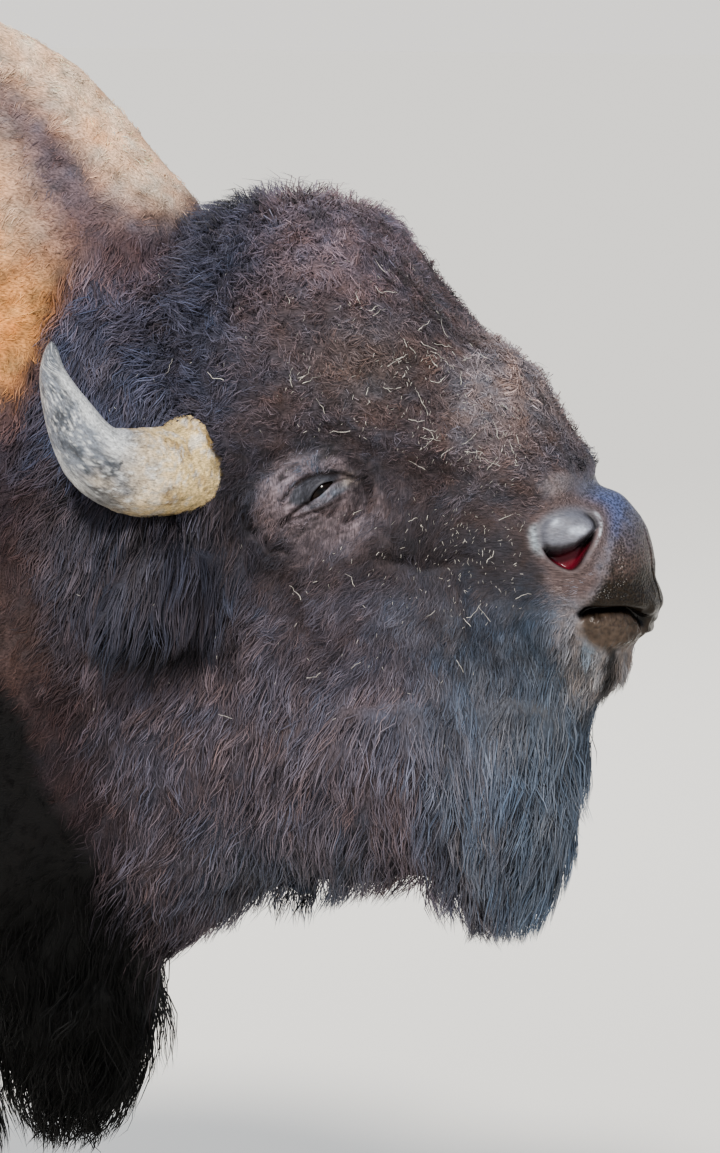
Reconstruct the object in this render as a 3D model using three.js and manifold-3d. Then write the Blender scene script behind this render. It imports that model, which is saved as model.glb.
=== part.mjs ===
// American bison bull, life size, standing with its head raised and its muzzle held level.
// Millimetres, +Z up, facing +X, right side towards -Y. Every surface is the outside of the coat.
// While it is built, x = 0 is under the top of the hump. At the end the group is moved so that
// its origin is on the floor, under the middle of the animal's box.
import * as THREE from "three";
import { mergeVertices } from "three/addons/utils/BufferGeometryUtils.js";
import Module from "manifold-3d";

const wasm = await Module();
wasm.setup();

// ---- Driving dimensions ----
const HUMP_HEIGHT = 1812;
const HIP_HEIGHT = 1425;
const BELLY_HEIGHT = 650;
const CHEST_HALF_WIDTH = 340;
const RUMP_X = -1590;
const HIND_X = -1400; // of the right hind fetlock
const EYE = { x: 664, y: 148, z: 1250, radius: 21 };
const MUZZLE_X = 1016;
const FORE_STANCE = 185; // sideways from the middle to a forefoot
const HIND_STANCE = 175;
const FORE_STEP = 55; // how far the left forefoot stands ahead of the right one
const HIND_STEP = 90; // how far the left hind foot stands behind the right one
const GAP = 0.8; // growth of a neighbour when a piece is cut by it
const CUT = 0.4; // width of a plane cut between two pieces of one solid
const CHEEK_X = 800; // where the muzzle and the lower jaw begin
const TAIL_BRUSH_HEIGHT = 950;

// ---- Colours of the pieces ----
const COAT = {
  cape: ["#b98d68", 0.95],
  mane: ["#4a3f40", 0.95],
  crown: ["#453b3b", 0.95],
  beard: ["#33333a", 0.9],
  rear: ["#6d5547", 0.9],
  legs: ["#3c3331", 0.9],
  muzzle: ["#5a5658", 0.6],
  horn: ["#a59c8a", 0.45],
  hoof: ["#2c2a2a", 0.5],
  eye: ["#1a1310", 0.1],
};

const finish = ([color, roughness]) =>
  new THREE.MeshStandardMaterial({ color, roughness, metalness: 0 });

// ---- Shape tools ----

// Smooth value of one field of a list of stations, at s from 0 to the last station's number.
function smoothField(stations, field) {
  const values = stations.map((station, i) => new THREE.Vector2(i, station[field]));
  const spline = new THREE.SplineCurve(values);
  return (s) => spline.getPoint(s / (stations.length - 1)).y;
}

// A closed ball of rings, reshaped by place(s, angle, size, push). s runs along the stations. The
// first and last rings are domes: there size falls to 0, and push is how far the dome stands out.
function reshapedBall(around, along, lastStation, domes, place) {
  const ball = new THREE.SphereGeometry(1, around, along);
  ball.deleteAttribute("normal");
  ball.deleteAttribute("uv");
  const geometry = mergeVertices(ball, 1e-5);
  const position = geometry.getAttribute("position");
  const domeShare = domes / along;
  for (let i = 0; i < position.count; i++) {
    const [x, y, z] = [position.getX(i), position.getY(i), position.getZ(i)];
    const t = 1 - Math.acos(THREE.MathUtils.clamp(y, -1, 1)) / Math.PI;
    const angle = Math.atan2(z, x);
    const s = THREE.MathUtils.clamp((t - domeShare) / (1 - 2 * domeShare), 0, 1) * lastStation;
    const inDome = Math.min(t, 1 - t) / domeShare;
    const turn = Math.min(inDome, 1) * (Math.PI / 2);
    const point = place(s, angle, Math.sin(turn), Math.cos(turn) * (t < 0.5 ? -1 : 1));
    position.setXYZ(i, point.x, point.y, point.z);
  }
  return geometry;
}

const rounded = (value, power) => Math.sign(value) * Math.abs(value) ** (2 / power);

// A body through upright sections across X. Each has its top and bottom heights, its half width,
// the height where it is widest, and how full it is above (crown) and below (keel): 2 is an oval,
// less is leaner and more is squarer. y moves it sideways.
function bodyLoft({ stations, around, along, domes = 2, domeDepth = [40, 40], grow = 0 }) {
  const fields = ["x", "top", "bottom", "half", "wide", "crown", "keel"];
  const at = Object.fromEntries(fields.map((field) => [field, smoothField(stations, field)]));
  const side = stations[0].y ?? 0;
  const geometry = reshapedBall(around, along, stations.length - 1, domes, (s, angle, size, push) => {
    const up = Math.cos(angle);
    const out = Math.sin(angle);
    const power = up > 0 ? at.crown(s) : at.keel(s);
    const wide = at.wide(s);
    const reach = (up > 0 ? at.top(s) - wide : wide - at.bottom(s)) + grow;
    const depth = domeDepth[push < 0 ? 0 : 1] + grow;
    return new THREE.Vector3(
      at.x(s) + push * depth,
      side + rounded(out, power) * (at.half(s) + grow) * size,
      wide + rounded(up, power) * reach * size,
    );
  });
  return solid(geometry);
}

// A limb along a smooth line through its stations: at is [x, y, z], deep is the half size fore and
// aft, wide the half size sideways. Its sections stay square to the line.
function limbLoft({ stations, around, along, domes = 2, grow = 0, sideAxis = [0, 1, 0] }) {
  const line = new THREE.CatmullRomCurve3(stations.map(({ at }) => new THREE.Vector3(...at)));
  line.curveType = "centripetal";
  const deep = smoothField(stations, "deep");
  const wide = smoothField(stations, "wide");
  const last = stations.length - 1;
  const geometry = reshapedBall(around, along, last, domes, (s, angle, size, push) => {
    const centre = line.getPoint(s / last);
    const ahead = line.getTangent(s / last);
    const across = new THREE.Vector3(...sideAxis).projectOnPlane(ahead).normalize();
    const fore = new THREE.Vector3().crossVectors(across, ahead);
    const dome = Math.min(deep(s), wide(s)) * 0.8 + grow;
    return centre
      .addScaledVector(fore, Math.cos(angle) * (deep(s) + grow) * size)
      .addScaledVector(across, Math.sin(angle) * (wide(s) + grow) * size)
      .addScaledVector(ahead, push * dome);
  });
  return solid(geometry);
}

// A three.js geometry as a solid, turned right side out.
function solid(geometry) {
  geometry.deleteAttribute("normal");
  geometry.deleteAttribute("uv");
  const merged = mergeVertices(geometry, 1e-4);
  const vertProperties = new Float32Array(merged.getAttribute("position").array);
  const triVerts = new Uint32Array(merged.index.array);
  let made = new wasm.Manifold(new wasm.Mesh({ numProp: 3, vertProperties, triVerts }));
  if (made.volume() < 0) {
    for (let i = 0; i < triVerts.length; i += 3)
      [triVerts[i + 1], triVerts[i + 2]] = [triVerts[i + 2], triVerts[i + 1]];
    made = new wasm.Manifold(new wasm.Mesh({ numProp: 3, vertProperties, triVerts }));
  }
  return made;
}

const largest = (made) =>
  made.decompose().sort((a, b) => b.volume() - a.volume())[0];

const cutBy = (made, ...neighbours) =>
  largest(neighbours.reduce((left, neighbour) => left.subtract(neighbour), made));

// The two sides of a plane through point (x, z) that rises at an angle from +X, with a thin gap.
function splitByPlane(made, { x, z, degrees }) {
  const rise = THREE.MathUtils.degToRad(degrees);
  const normal = [-Math.sin(rise), 0, Math.cos(rise)];
  const offset = normal[0] * x + normal[2] * z;
  return {
    above: made.trimByPlane(normal, offset + CUT / 2),
    below: made.trimByPlane(normal.map((n) => -n), -offset + CUT / 2),
  };
}

const model = new THREE.Group();

function addNode(name, made, look) {
  const mesh = made.getMesh();
  const geometry = new THREE.BufferGeometry();
  geometry.setAttribute("position", new THREE.BufferAttribute(mesh.vertProperties, 3));
  geometry.setIndex(new THREE.BufferAttribute(mesh.triVerts, 1));
  const node = new THREE.Mesh(geometry, finish(look));
  node.name = name;
  model.add(node);
}

// One upright section for bodyLoft.
const section = (x, top, bottom, half, wide, crown, keel) =>
  ({ x, top, bottom, half, wide, crown, keel });

// ---- Trunk and neck: rump, loin, belly, ribs, shoulder, hump and neck ----
const body = (grow = 0) =>
  bodyLoft({
    around: 24,
    along: 28,
    domes: 3,
    domeDepth: [50, 60],
    grow,
    stations: [
      section(RUMP_X + 50, HIP_HEIGHT - 125, 1000, 95, 1180, 2.0, 2.0),
      section(-1455, HIP_HEIGHT - 42, 880, 185, 1170, 1.9, 2.1),
      section(-1320, HIP_HEIGHT - 3, 800, 242, 1140, 1.8, 2.1),
      section(-1140, HIP_HEIGHT, 772, 280, 1080, 1.78, 2.2),
      section(-930, HIP_HEIGHT + 16, 712, 328, 1035, 1.76, 2.2),
      section(-710, 1495, BELLY_HEIGHT + 12, 358, 1010, 1.72, 2.2),
      section(-480, 1610, BELLY_HEIGHT - 14, 366, 1000, 1.68, 2.2),
      section(-260, 1724, BELLY_HEIGHT - 40, 356, 1000, 1.64, 2.1),
      section(-60, HUMP_HEIGHT - 14, BELLY_HEIGHT - 65, CHEST_HALF_WIDTH, 1005, 1.6, 2.0),
      section(100, HUMP_HEIGHT - 2, BELLY_HEIGHT - 78, CHEST_HALF_WIDTH - 12, 1015, 1.6, 1.9),
      section(235, 1770, BELLY_HEIGHT - 84, 304, 1040, 1.62, 1.9),
      section(340, 1712, BELLY_HEIGHT - 55, 264, 1065, 1.66, 1.8),
      section(425, 1615, BELLY_HEIGHT - 5, 230, 1095, 1.75, 1.7),
      section(495, 1510, 690, 196, 1125, 1.9, 1.6),
      section(560, 1432, 735, 164, 1140, 2.0, 1.6),
      section(620, 1390, 772, 136, 1140, 2.0, 1.6),
    ],
  });

// ---- Chest mane: the long hair in front of and between the forelegs ----
const chestMane = (grow = 0) =>
  limbLoft({
    around: 14,
    along: 9,
    grow,
    stations: [
      { at: [290, 0, 840], deep: 175, wide: 205 },
      { at: [300, 0, 720], deep: 168, wide: 198 },
      { at: [312, 0, 610], deep: 148, wide: 158 },
      { at: [330, 0, 520], deep: 98, wide: 92 },
    ],
  });

// ---- Head: skull, cheeks and muzzle, in short hair ----
const FACE_SLOPE = -13; // degrees from +X
const head = (grow = 0) =>
  bodyLoft({
    around: 18,
    along: 18,
    domes: 3,
    domeDepth: [60, 36],
    grow,
    stations: [
      section(440, 1425, 960, 160, 1230, 2.2, 2.0),
      section(520, 1420, 945, 168, 1240, 2.3, 2.0),
      section(600, 1405, 940, 170, 1238, 2.4, 1.9),
      section(665, 1380, 948, 165, 1240, 2.4, 1.9),
      section(730, 1350, 962, 140, 1222, 2.2, 1.9),
      section(800, 1318, 982, 114, 1198, 2.1, 2.0),
      section(870, 1286, 998, 98, 1182, 2.2, 2.1),
      section(925, 1256, 1002, 92, 1172, 2.3, 2.2),
      section(960, 1240, 1000, 87, 1158, 2.4, 2.2),
      section(MUZZLE_X - 36, 1222, 1012, 74, 1136, 2.4, 2.2),
    ],
  });

// ---- Crown: the dome of wool on the poll and forehead ----
const crown = (grow = 0) =>
  bodyLoft({
    around: 16,
    along: 13,
    domes: 3,
    domeDepth: [46, 16],
    grow,
    stations: [
      section(470, 1515, 1240, 150, 1370, 2.2, 2.0),
      section(540, 1568, 1225, 182, 1375, 2.2, 2.0),
      section(615, 1580, 1240, 196, 1375, 2.2, 2.0),
      section(695, 1562, 1245, 188, 1360, 2.2, 2.0),
      section(765, 1476, 1240, 166, 1330, 2.2, 2.0),
      section(815, 1422, 1225, 140, 1300, 2.2, 2.0),
      section(875, 1380, 1210, 112, 1270, 2.2, 2.0),
      section(925, 1300, 1200, 86, 1235, 2.2, 2.0),
    ],
  });

// ---- Beard under the chin and jaw ----
const beard = (grow = 0) =>
  limbLoft({
    around: 14,
    along: 10,
    grow,
    stations: [
      { at: [850, 0, 1070], deep: 95, wide: 66 },
      { at: [842, 0, 980], deep: 118, wide: 94 },
      { at: [834, 0, 900], deep: 112, wide: 98 },
      { at: [830, 0, 830], deep: 106, wide: 84 },
      { at: [834, 0, 768], deep: 84, wide: 56 },
    ],
  });

// ---- Throat mane: the hair that hangs from the jaw and throat back to the chest ----
const throatMane = (grow = 0) =>
  bodyLoft({
    around: 14,
    along: 8,
    domeDepth: [40, 30],
    grow,
    stations: [
      section(420, 1120, 690, 150, 950, 2.0, 1.6),
      section(530, 1120, 716, 150, 960, 2.0, 1.6),
      section(620, 1100, 738, 140, 965, 2.0, 1.6),
      section(710, 1080, 762, 122, 970, 2.0, 1.7),
      section(780, 1060, 772, 100, 980, 2.0, 1.8),
    ],
  });

// ---- Horns: out to the side, then back and up ----
const horn = (side, grow = 0) => {
  const at = (x, y, z) => [x, side * y, z];
  return limbLoft({
    around: 10,
    along: 13,
    grow,
    sideAxis: [1, 0, 0.2],
    stations: [
      { at: at(514, 122, 1284), deep: 52, wide: 52 },
      { at: at(502, 178, 1275), deep: 54, wide: 53 },
      { at: at(484, 228, 1268), deep: 48, wide: 47 },
      { at: at(454, 268, 1286), deep: 40, wide: 38 },
      { at: at(422, 294, 1336), deep: 27, wide: 27 },
      { at: at(401, 301, 1387), deep: 15, wide: 15 },
      { at: at(392, 290, 1420), deep: 5, wide: 5 },
    ],
  });
};

// ---- Ears: shaggy, low behind the horns, pointing out and back ----
const ear = (side, grow = 0) => {
  const at = (x, y, z) => [x, side * y, z];
  return limbLoft({
    around: 10,
    along: 8,
    grow,
    sideAxis: [0.6, 0.8 * side, 0],
    stations: [
      { at: at(556, 120, 1180), deep: 40, wide: 30 },
      { at: at(512, 180, 1150), deep: 56, wide: 34 },
      { at: at(470, 232, 1120), deep: 54, wide: 28 },
      { at: at(440, 268, 1106), deep: 26, wide: 14 },
    ],
  });
};

// ---- Forelegs: shaggy to below the knee, then short hair to the hoof ----
const foreleg = (side, grow = 0) => {
  const step = side > 0 ? FORE_STEP : 0;
  const y = side * FORE_STANCE;
  return limbLoft({
    around: 10,
    along: 15,
    domes: 1,
    grow,
    stations: [
      { at: [30, y * 0.9, 960], deep: 150, wide: 100 },
      { at: [15, y, 830], deep: 180, wide: 126 },
      { at: [8 + step * 0.3, y * 1.04, 690], deep: 158, wide: 116 },
      { at: [16 + step * 0.6, y * 1.02, 545], deep: 122, wide: 94 },
      { at: [30 + step * 0.9, y, 430], deep: 92, wide: 76 },
      { at: [34 + step, y, 340], deep: 60, wide: 53 },
      { at: [30 + step, y, 260], deep: 43, wide: 38 },
      { at: [30 + step, y, 190], deep: 43, wide: 40 },
      { at: [36 + step, y, 136], deep: 54, wide: 52 },
      { at: [66 + step, y, 70], deep: 50, wide: 54 },
    ],
  });
};

// ---- Hind legs: thigh, gaskin, hock and cannon ----
const hindLeg = (side, grow = 0) => {
  const step = side > 0 ? -HIND_STEP : 0;
  const y = side * HIND_STANCE;
  return limbLoft({
    around: 12,
    along: 20,
    domes: 1,
    grow,
    stations: [
      { at: [HIND_X + 40, y * 0.6, 1260], deep: 120, wide: 90 },
      { at: [HIND_X + 56, y * 0.82, 1130], deep: 205, wide: 124 },
      { at: [HIND_X + 80, y * 0.96, 990], deep: 232, wide: 124 },
      { at: [HIND_X + 88 + step * 0.1, y, 865], deep: 204, wide: 104 },
      { at: [HIND_X + 62 + step * 0.25, y, 755], deep: 154, wide: 84 },
      { at: [HIND_X + 6 + step * 0.5, y, 655], deep: 106, wide: 66 },
      { at: [HIND_X - 40 + step * 0.8, y, 570], deep: 76, wide: 53 },
      { at: [HIND_X - 46 + step, y, 485], deep: 59, wide: 47 },
      { at: [HIND_X - 26 + step, y, 395], deep: 46, wide: 39 },
      { at: [HIND_X - 12 + step, y, 300], deep: 42, wide: 36 },
      { at: [HIND_X + 2 + step, y, 205], deep: 42, wide: 37 },
      { at: [HIND_X + 16 + step, y, 138], deep: 53, wide: 49 },
      { at: [HIND_X + 46 + step, y, 68], deep: 47, wide: 50 },
    ],
  });
};

// ---- Hooves: two claws to a foot, flat underneath and parted by a narrow cleft ----
function claw({ x, y, length, width, height, grow = 0 }) {
  const profile = [
    { along: -0.36, half: 0.38, top: 0.78 },
    { along: -0.14, half: 0.5, top: 1 },
    { along: 0.12, half: 0.5, top: 0.98 },
    { along: 0.33, half: 0.45, top: 0.66 },
    { along: 0.44, half: 0.33, top: 0.4 },
  ];
  const stations = profile.map(({ along, half, top }) => ({
    x: x + along * length,
    y,
    half: half * width,
    top: top * height,
    bottom: -0.3 * height,
    wide: 0.1 * height,
    crown: 2.6,
    keel: 3,
  }));
  const whole = bodyLoft({ stations, around: 8, along: 6, domes: 1, domeDepth: [8, 10], grow });
  return whole.trimByPlane([0, 0, 1], 0);
}

// ---- Tail: a short dock and a brush of long hair ----
const TAIL = [
  { at: [RUMP_X + 95, 0, 1322], deep: 36, wide: 40 },
  { at: [RUMP_X + 35, 0, 1306], deep: 34, wide: 38 },
  { at: [RUMP_X - 22, 0, 1225], deep: 27, wide: 30 },
  { at: [RUMP_X - 40, 0, 1110], deep: 22, wide: 24 },
  { at: [RUMP_X - 46, 0, 1000], deep: 20, wide: 21 },
  { at: [RUMP_X - 46, 0, 920], deep: 27, wide: 28 },
  { at: [RUMP_X - 44, 0, 840], deep: 38, wide: 38 },
  { at: [RUMP_X - 42, 0, 760], deep: 34, wide: 34 },
  { at: [RUMP_X - 41, 0, 700], deep: 14, wide: 14 },
];
const tail = (grow = 0) => limbLoft({ stations: TAIL, around: 8, along: 14, grow });

// ---- Sheath: the bull's tuft under the belly ----
const sheath = (grow = 0) =>
  limbLoft({
    around: 10,
    along: 7,
    grow,
    stations: [
      { at: [-760, 0, 740], deep: 90, wide: 60 },
      { at: [-735, 0, 660], deep: 70, wide: 48 },
      { at: [-715, 0, 590], deep: 42, wide: 30 },
      { at: [-705, 0, 545], deep: 18, wide: 14 },
    ],
  });

// ---- Put the flesh together, each piece cut by those before it ----
const sides = { right: -1, left: 1 };

const eyeball = (side, radius) =>
  solid(new THREE.SphereGeometry(radius, 10, 6).translate(EYE.x, side * EYE.y, EYE.z));

// Nostrils, opening sideways and a little forward
const nostril = (side) =>
  limbLoft({
    around: 8,
    along: 5,
    domes: 1,
    stations: [
      { at: [905, side * 45, 1178], deep: 10, wide: 8 },
      { at: [930, side * 68, 1184], deep: 18, wide: 12 },
      { at: [950, side * 105, 1188], deep: 21, wide: 14 },
    ],
  });

// A horn's root ends this far short of the middle of the head.
const HORN_ROOT_Y = 112;
const hornRootBlock = solid(new THREE.BoxGeometry(300, 2 * HORN_ROOT_Y, 300).translate(515, 0, 1280));

const grownBody = body(GAP);
const grownHead = head(GAP);
const grownEyes = eyeball(-1, EYE.radius + GAP).add(eyeball(1, EYE.radius + GAP));
const grownHorns = horn(-1, GAP).add(horn(1, GAP)).subtract(hornRootBlock);
const fittings = grownEyes.add(grownHorns);

// Trunk and neck are one shape, parted by a sloping cut in front of the shoulder.
const neckCut = splitByPlane(body(), { x: 345, z: 1200, degrees: 100 });
addNode("trunk", largest(neckCut.above), COAT.cape);
addNode("neck", cutBy(neckCut.below, fittings), COAT.mane);
addNode("sheath", cutBy(sheath(), grownBody), COAT.legs);
addNode("chest_mane", cutBy(chestMane(), grownBody), COAT.beard);

// The head parts at the mouth, and again in front of the cheeks.
const skull = cutBy(head(), grownBody, fittings, nostril(-1), nostril(1));
const cheekCut = splitByPlane(skull, { x: CHEEK_X, z: 1060, degrees: 90 });
const mouthCut = splitByPlane(cheekCut.below, { x: 1010, z: 1093, degrees: FACE_SLOPE });
addNode("head", largest(cheekCut.above), COAT.mane);
addNode("muzzle", largest(mouthCut.above), COAT.muzzle);
addNode("lower_jaw", largest(mouthCut.below), COAT.mane);

addNode("crown", cutBy(crown(), grownHead, grownBody, grownHorns), COAT.crown);
const grownMane = throatMane(GAP).add(chestMane(GAP));
addNode("throat_mane", cutBy(throatMane(), grownHead, grownBody, chestMane(GAP)), COAT.beard);
addNode("beard", cutBy(beard(), grownHead, grownBody, grownMane), COAT.beard);

// ---- Feet: two claws on each leg ----
const FORE_HOOF = { length: 132, width: 62, height: 78, ahead: 46 };
const HIND_HOOF = { length: 122, width: 56, height: 74, ahead: 86 };
const CLEFT = 4; // between the two claws of a foot
const feet = [];
for (const [name, side] of Object.entries(sides)) {
  const forward = { fore: side > 0 ? FORE_STEP : 0, hind: side > 0 ? -HIND_STEP : 0 };
  const foreX = 34 + FORE_HOOF.ahead + forward.fore;
  const hindX = HIND_X + HIND_HOOF.ahead + forward.hind;
  feet.push(
    { name: `fore_${name}`, side, x: foreX, middle: side * FORE_STANCE, ...FORE_HOOF },
    { name: `hind_${name}`, side, x: hindX, middle: side * HIND_STANCE, ...HIND_HOOF },
  );
}

// Both claws of one foot, and the same two grown into one cutter for the leg.
const footClaws = {};
for (const foot of feet) {
  const pair = { outer: foot.side, inner: -foot.side };
  footClaws[foot.name] = [];
  for (const [place, way] of Object.entries(pair)) {
    const y = foot.middle + way * (foot.width + CLEFT) / 2;
    addNode(`hoof_${foot.name}_${place}`, claw({ ...foot, y }), COAT.hoof);
    footClaws[foot.name].push(claw({ ...foot, y, grow: GAP }));
  }
}

for (const [name, side] of Object.entries(sides)) {
  const covered = [grownBody, grownHead, grownMane];
  addNode(`eye_${name}`, eyeball(side, EYE.radius), COAT.eye);
  addNode(`horn_${name}`, cutBy(horn(side), hornRootBlock), COAT.horn);
  addNode(`ear_${name}`, cutBy(ear(side), ...covered, horn(side, GAP)), COAT.mane);
  const fore = cutBy(foreleg(side), ...covered, ...footClaws[`fore_${name}`]);
  addNode(`foreleg_${name}`, fore, COAT.legs);
  const hind = cutBy(hindLeg(side), grownBody, ...footClaws[`hind_${name}`]);
  const stifleCut = splitByPlane(hind, { x: HIND_X, z: 800, degrees: 12 });
  addNode(`thigh_${name}`, largest(stifleCut.above), COAT.rear);
  addNode(`hindleg_${name}`, largest(stifleCut.below), COAT.legs);
}

// ---- Tail ----
const hanging = splitByPlane(cutBy(tail(), grownBody), { x: 0, z: TAIL_BRUSH_HEIGHT, degrees: 0 });
addNode("tail", largest(hanging.above), COAT.legs);
addNode("tail_brush", largest(hanging.below), COAT.legs);

// ---- Origin on the floor under the middle of the box ----
const box = new THREE.Box3().setFromObject(model);
const middle = box.getCenter(new THREE.Vector3());
model.position.set(-middle.x, -middle.y, -box.min.z);

export default model;
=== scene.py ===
"""A life-size still model of an American bison bull: hide, coat, horns, eyes and hooves."""

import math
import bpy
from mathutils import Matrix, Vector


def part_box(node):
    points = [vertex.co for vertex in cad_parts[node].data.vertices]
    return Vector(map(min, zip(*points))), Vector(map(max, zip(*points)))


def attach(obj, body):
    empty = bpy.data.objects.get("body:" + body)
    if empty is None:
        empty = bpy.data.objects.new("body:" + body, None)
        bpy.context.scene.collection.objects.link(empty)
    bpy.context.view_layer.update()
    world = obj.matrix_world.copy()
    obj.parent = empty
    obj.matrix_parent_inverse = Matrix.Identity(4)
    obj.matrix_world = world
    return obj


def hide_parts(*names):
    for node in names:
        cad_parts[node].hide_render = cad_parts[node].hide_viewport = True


bl_info = {
    "name": "American Bison",
    "version": (1, 0, 0),
    "blender": (4, 5, 0),
    "location": "View3D > Sidebar > Bison",
    "description": "Builds the hide, coat, horns, eyes and hooves of an American bison bull",
    "category": "Add Mesh",
}

import bmesh
import bpy
import numpy as np
from bpy.props import FloatProperty, FloatVectorProperty, PointerProperty
from mathutils import Matrix, Vector
from mathutils.bvhtree import BVHTree
from mathutils.kdtree import KDTree

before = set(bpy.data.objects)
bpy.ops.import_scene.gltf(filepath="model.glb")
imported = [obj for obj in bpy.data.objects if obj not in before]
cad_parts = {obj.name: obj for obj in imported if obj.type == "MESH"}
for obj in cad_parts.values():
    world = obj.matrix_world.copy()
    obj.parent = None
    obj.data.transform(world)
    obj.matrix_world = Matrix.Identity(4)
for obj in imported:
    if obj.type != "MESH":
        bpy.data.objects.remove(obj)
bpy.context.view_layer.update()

MM = 0.001
SIDES = {"right": -1, "left": 1}
EYE = (Vector(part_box("eye_right")[0]) + Vector(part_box("eye_right")[1])) / 2
FACE_ORIGIN = np.array((EYE.x, 0.0, EYE.z))

# Zones of the coat. Each gives the nodes it covers, then in millimetres the depth of the coat over
# the hide, the length and the width of a lock, then the lift of a lock off the hide in degrees, how
# far it curls, how many locks it has for its area beside the others of its piece, how strongly
# locks gather into tufts, and how far in millimetres their tips may pass the outline.
ZONES = {
    "cape": (("trunk",), 2, 16, 1.4, 30, 0.6, 1.0, 0.45, 10),
    "rear": ((), 6, 24, 2.6, 13, 0.15, 1.0, 0.3, 4),
    "neck": (("neck",), 18, 44, 1.35, 20, 0.6, 1.0, 0.6, 8),
    "sheath": (("sheath",), 22, 70, 3.0, 12, 0.4, 2.0, 0.6, 10),
    "chest": (("chest_mane",), 26, 110, 2.2, 16, 0.5, 1.6, 0.6, 16),
    "cheek": (("head",), 10, 27, 1.05, 20, 0.7, 1.0, 0.6, 7),
    "muzzle": (("muzzle",), 3, 9, 0.9, 15, 0.2, 1.3, 0.2, 2),
    "jaw": (("lower_jaw",), 9, 28, 1.1, 20, 0.4, 1.0, 0.55, 7),
    "crown": (("crown",), 8, 20, 1.2, 58, 1.5, 1.0, 0.6, 14),
    "throat": (("throat_mane",), 20, 62, 1.4, 13, 0.5, 1.0, 0.62, 10),
    "beard": (("beard",), 20, 88, 1.5, 10, 0.5, 1.0, 0.68, 12),
    "ear": (("ear_right", "ear_left"), 5, 68, 1.35, 20, 0.3, 1.0, 0.75, 60),
    "foreleg": (("foreleg_right", "foreleg_left"), 20, 105, 2.4, 20, 0.4, 1.2, 0.6, 30),
    "thigh": (("thigh_right", "thigh_left"), 8, 28, 2.8, 14, 0.2, 1.0, 0.3, 4),
    "hindleg": (("hindleg_right", "hindleg_left"), 6, 20, 2.4, 14, 0.1, 1.2, 0.3, 4),
    "tail": (("tail",), 6, 26, 2.6, 16, 0.1, 1.5, 0.4, 5),
    "brush": (("tail_brush",), 20, 150, 3.0, 10, 0.35, 3.0, 0.6, 12),
    "cannon": ((), 4, 14, 2.2, 12, 0.05, 1.4, 0.3, 3),
}
ZONE_NAMES = list(ZONES)
ZONE = {name: index for index, name in enumerate(ZONE_NAMES)}
FORM = np.array([values[1:] for values in ZONES.values()], float)
FLESH = [node for spec in ZONES.values() for node in spec[0]]

# Zones whose short hair runs down on the hide, not back.
FALLING = ("neck", "chest", "cheek", "jaw", "throat", "beard", "foreleg", "hindleg", "tail",
           "brush", "cannon")
# Zones whose locks differ most from their neighbours.
SHAGGY = ("neck", "throat", "ear", "jaw", "beard")

# The way the coat lies in each zone where it is the same all over: forward, outward and up.
LIES = {
    "cape": (-0.9, 0, -0.55), "rear": (-1.0, 0, -0.30), "thigh": (-0.6, 0, -1.0),
    "neck": (-0.5, 0, -1.0), "throat": (-0.28, 0, -1.0), "muzzle": (-1.0, 0, 0.15),
    "jaw": (-0.1, 0, -1.0), "beard": (0.02, 0, -1.0), "tail": (-0.3, 0, -1.0)}
DOWNWARD = (-0.15, 0, -1.0)

# Each lock has a patch of this width in the map of the coat piece, which is one wide.
PATCH = 0.003
# Its root is set this deep in the hide, in metres.
ROOT_DEPTH = 2 * MM
# Locks gather towards one in so many of them, first into broad tufts and then into fine ones.
BROAD_TUFT = 50
FINE_TUFT = 8

# The coat pieces: zones, side, locks, and lengths of tube in one lock.
PIECES = {
    "coat_crown_right": (("crown",), -1, 18000, 2),
    "coat_crown_left": (("crown",), 1, 8500, 2),
    "coat_face_right": (("cheek", "muzzle", "jaw"), -1, 19000, 2),
    "coat_face_left": (("cheek", "muzzle", "jaw"), 1, 8500, 2),
    "coat_mane_right": (("neck", "throat"), -1, 12000, 3),
    "coat_mane_left": (("neck", "throat"), 1, 6000, 3),
    "coat_cape_right": (("cape",), -1, 19000, 2),
    "coat_cape_left": (("cape",), 1, 8000, 2),
    "coat_beard": (("beard",), 0, 5200, 4),
    "coat_ears": (("ear",), 0, 4200, 4),
    "coat_chest": (("chest", "foreleg"), 0, 4200, 4),
    "coat_rear": (("rear", "thigh", "sheath"), 0, 7000, 2),
    "coat_shanks": (("hindleg", "cannon"), 0, 2600, 2),
    "coat_tail": (("tail", "brush"), 0, 1300, 4),
}


# The seeds of the random draws: the first coat piece's, then one up for each, and the straw's.
FIRST_SEED = 100
STRAW_SEED = 900


def linear(hex_colour):
    """Turn an sRGB hex colour into linear red, green and blue."""
    values = [int(hex_colour[i:i + 2], 16) / 255 for i in (1, 3, 5)]
    return tuple(v / 12.92 if v <= 0.04045 else ((v + 0.055) / 1.055) ** 2.4 for v in values)


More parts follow.
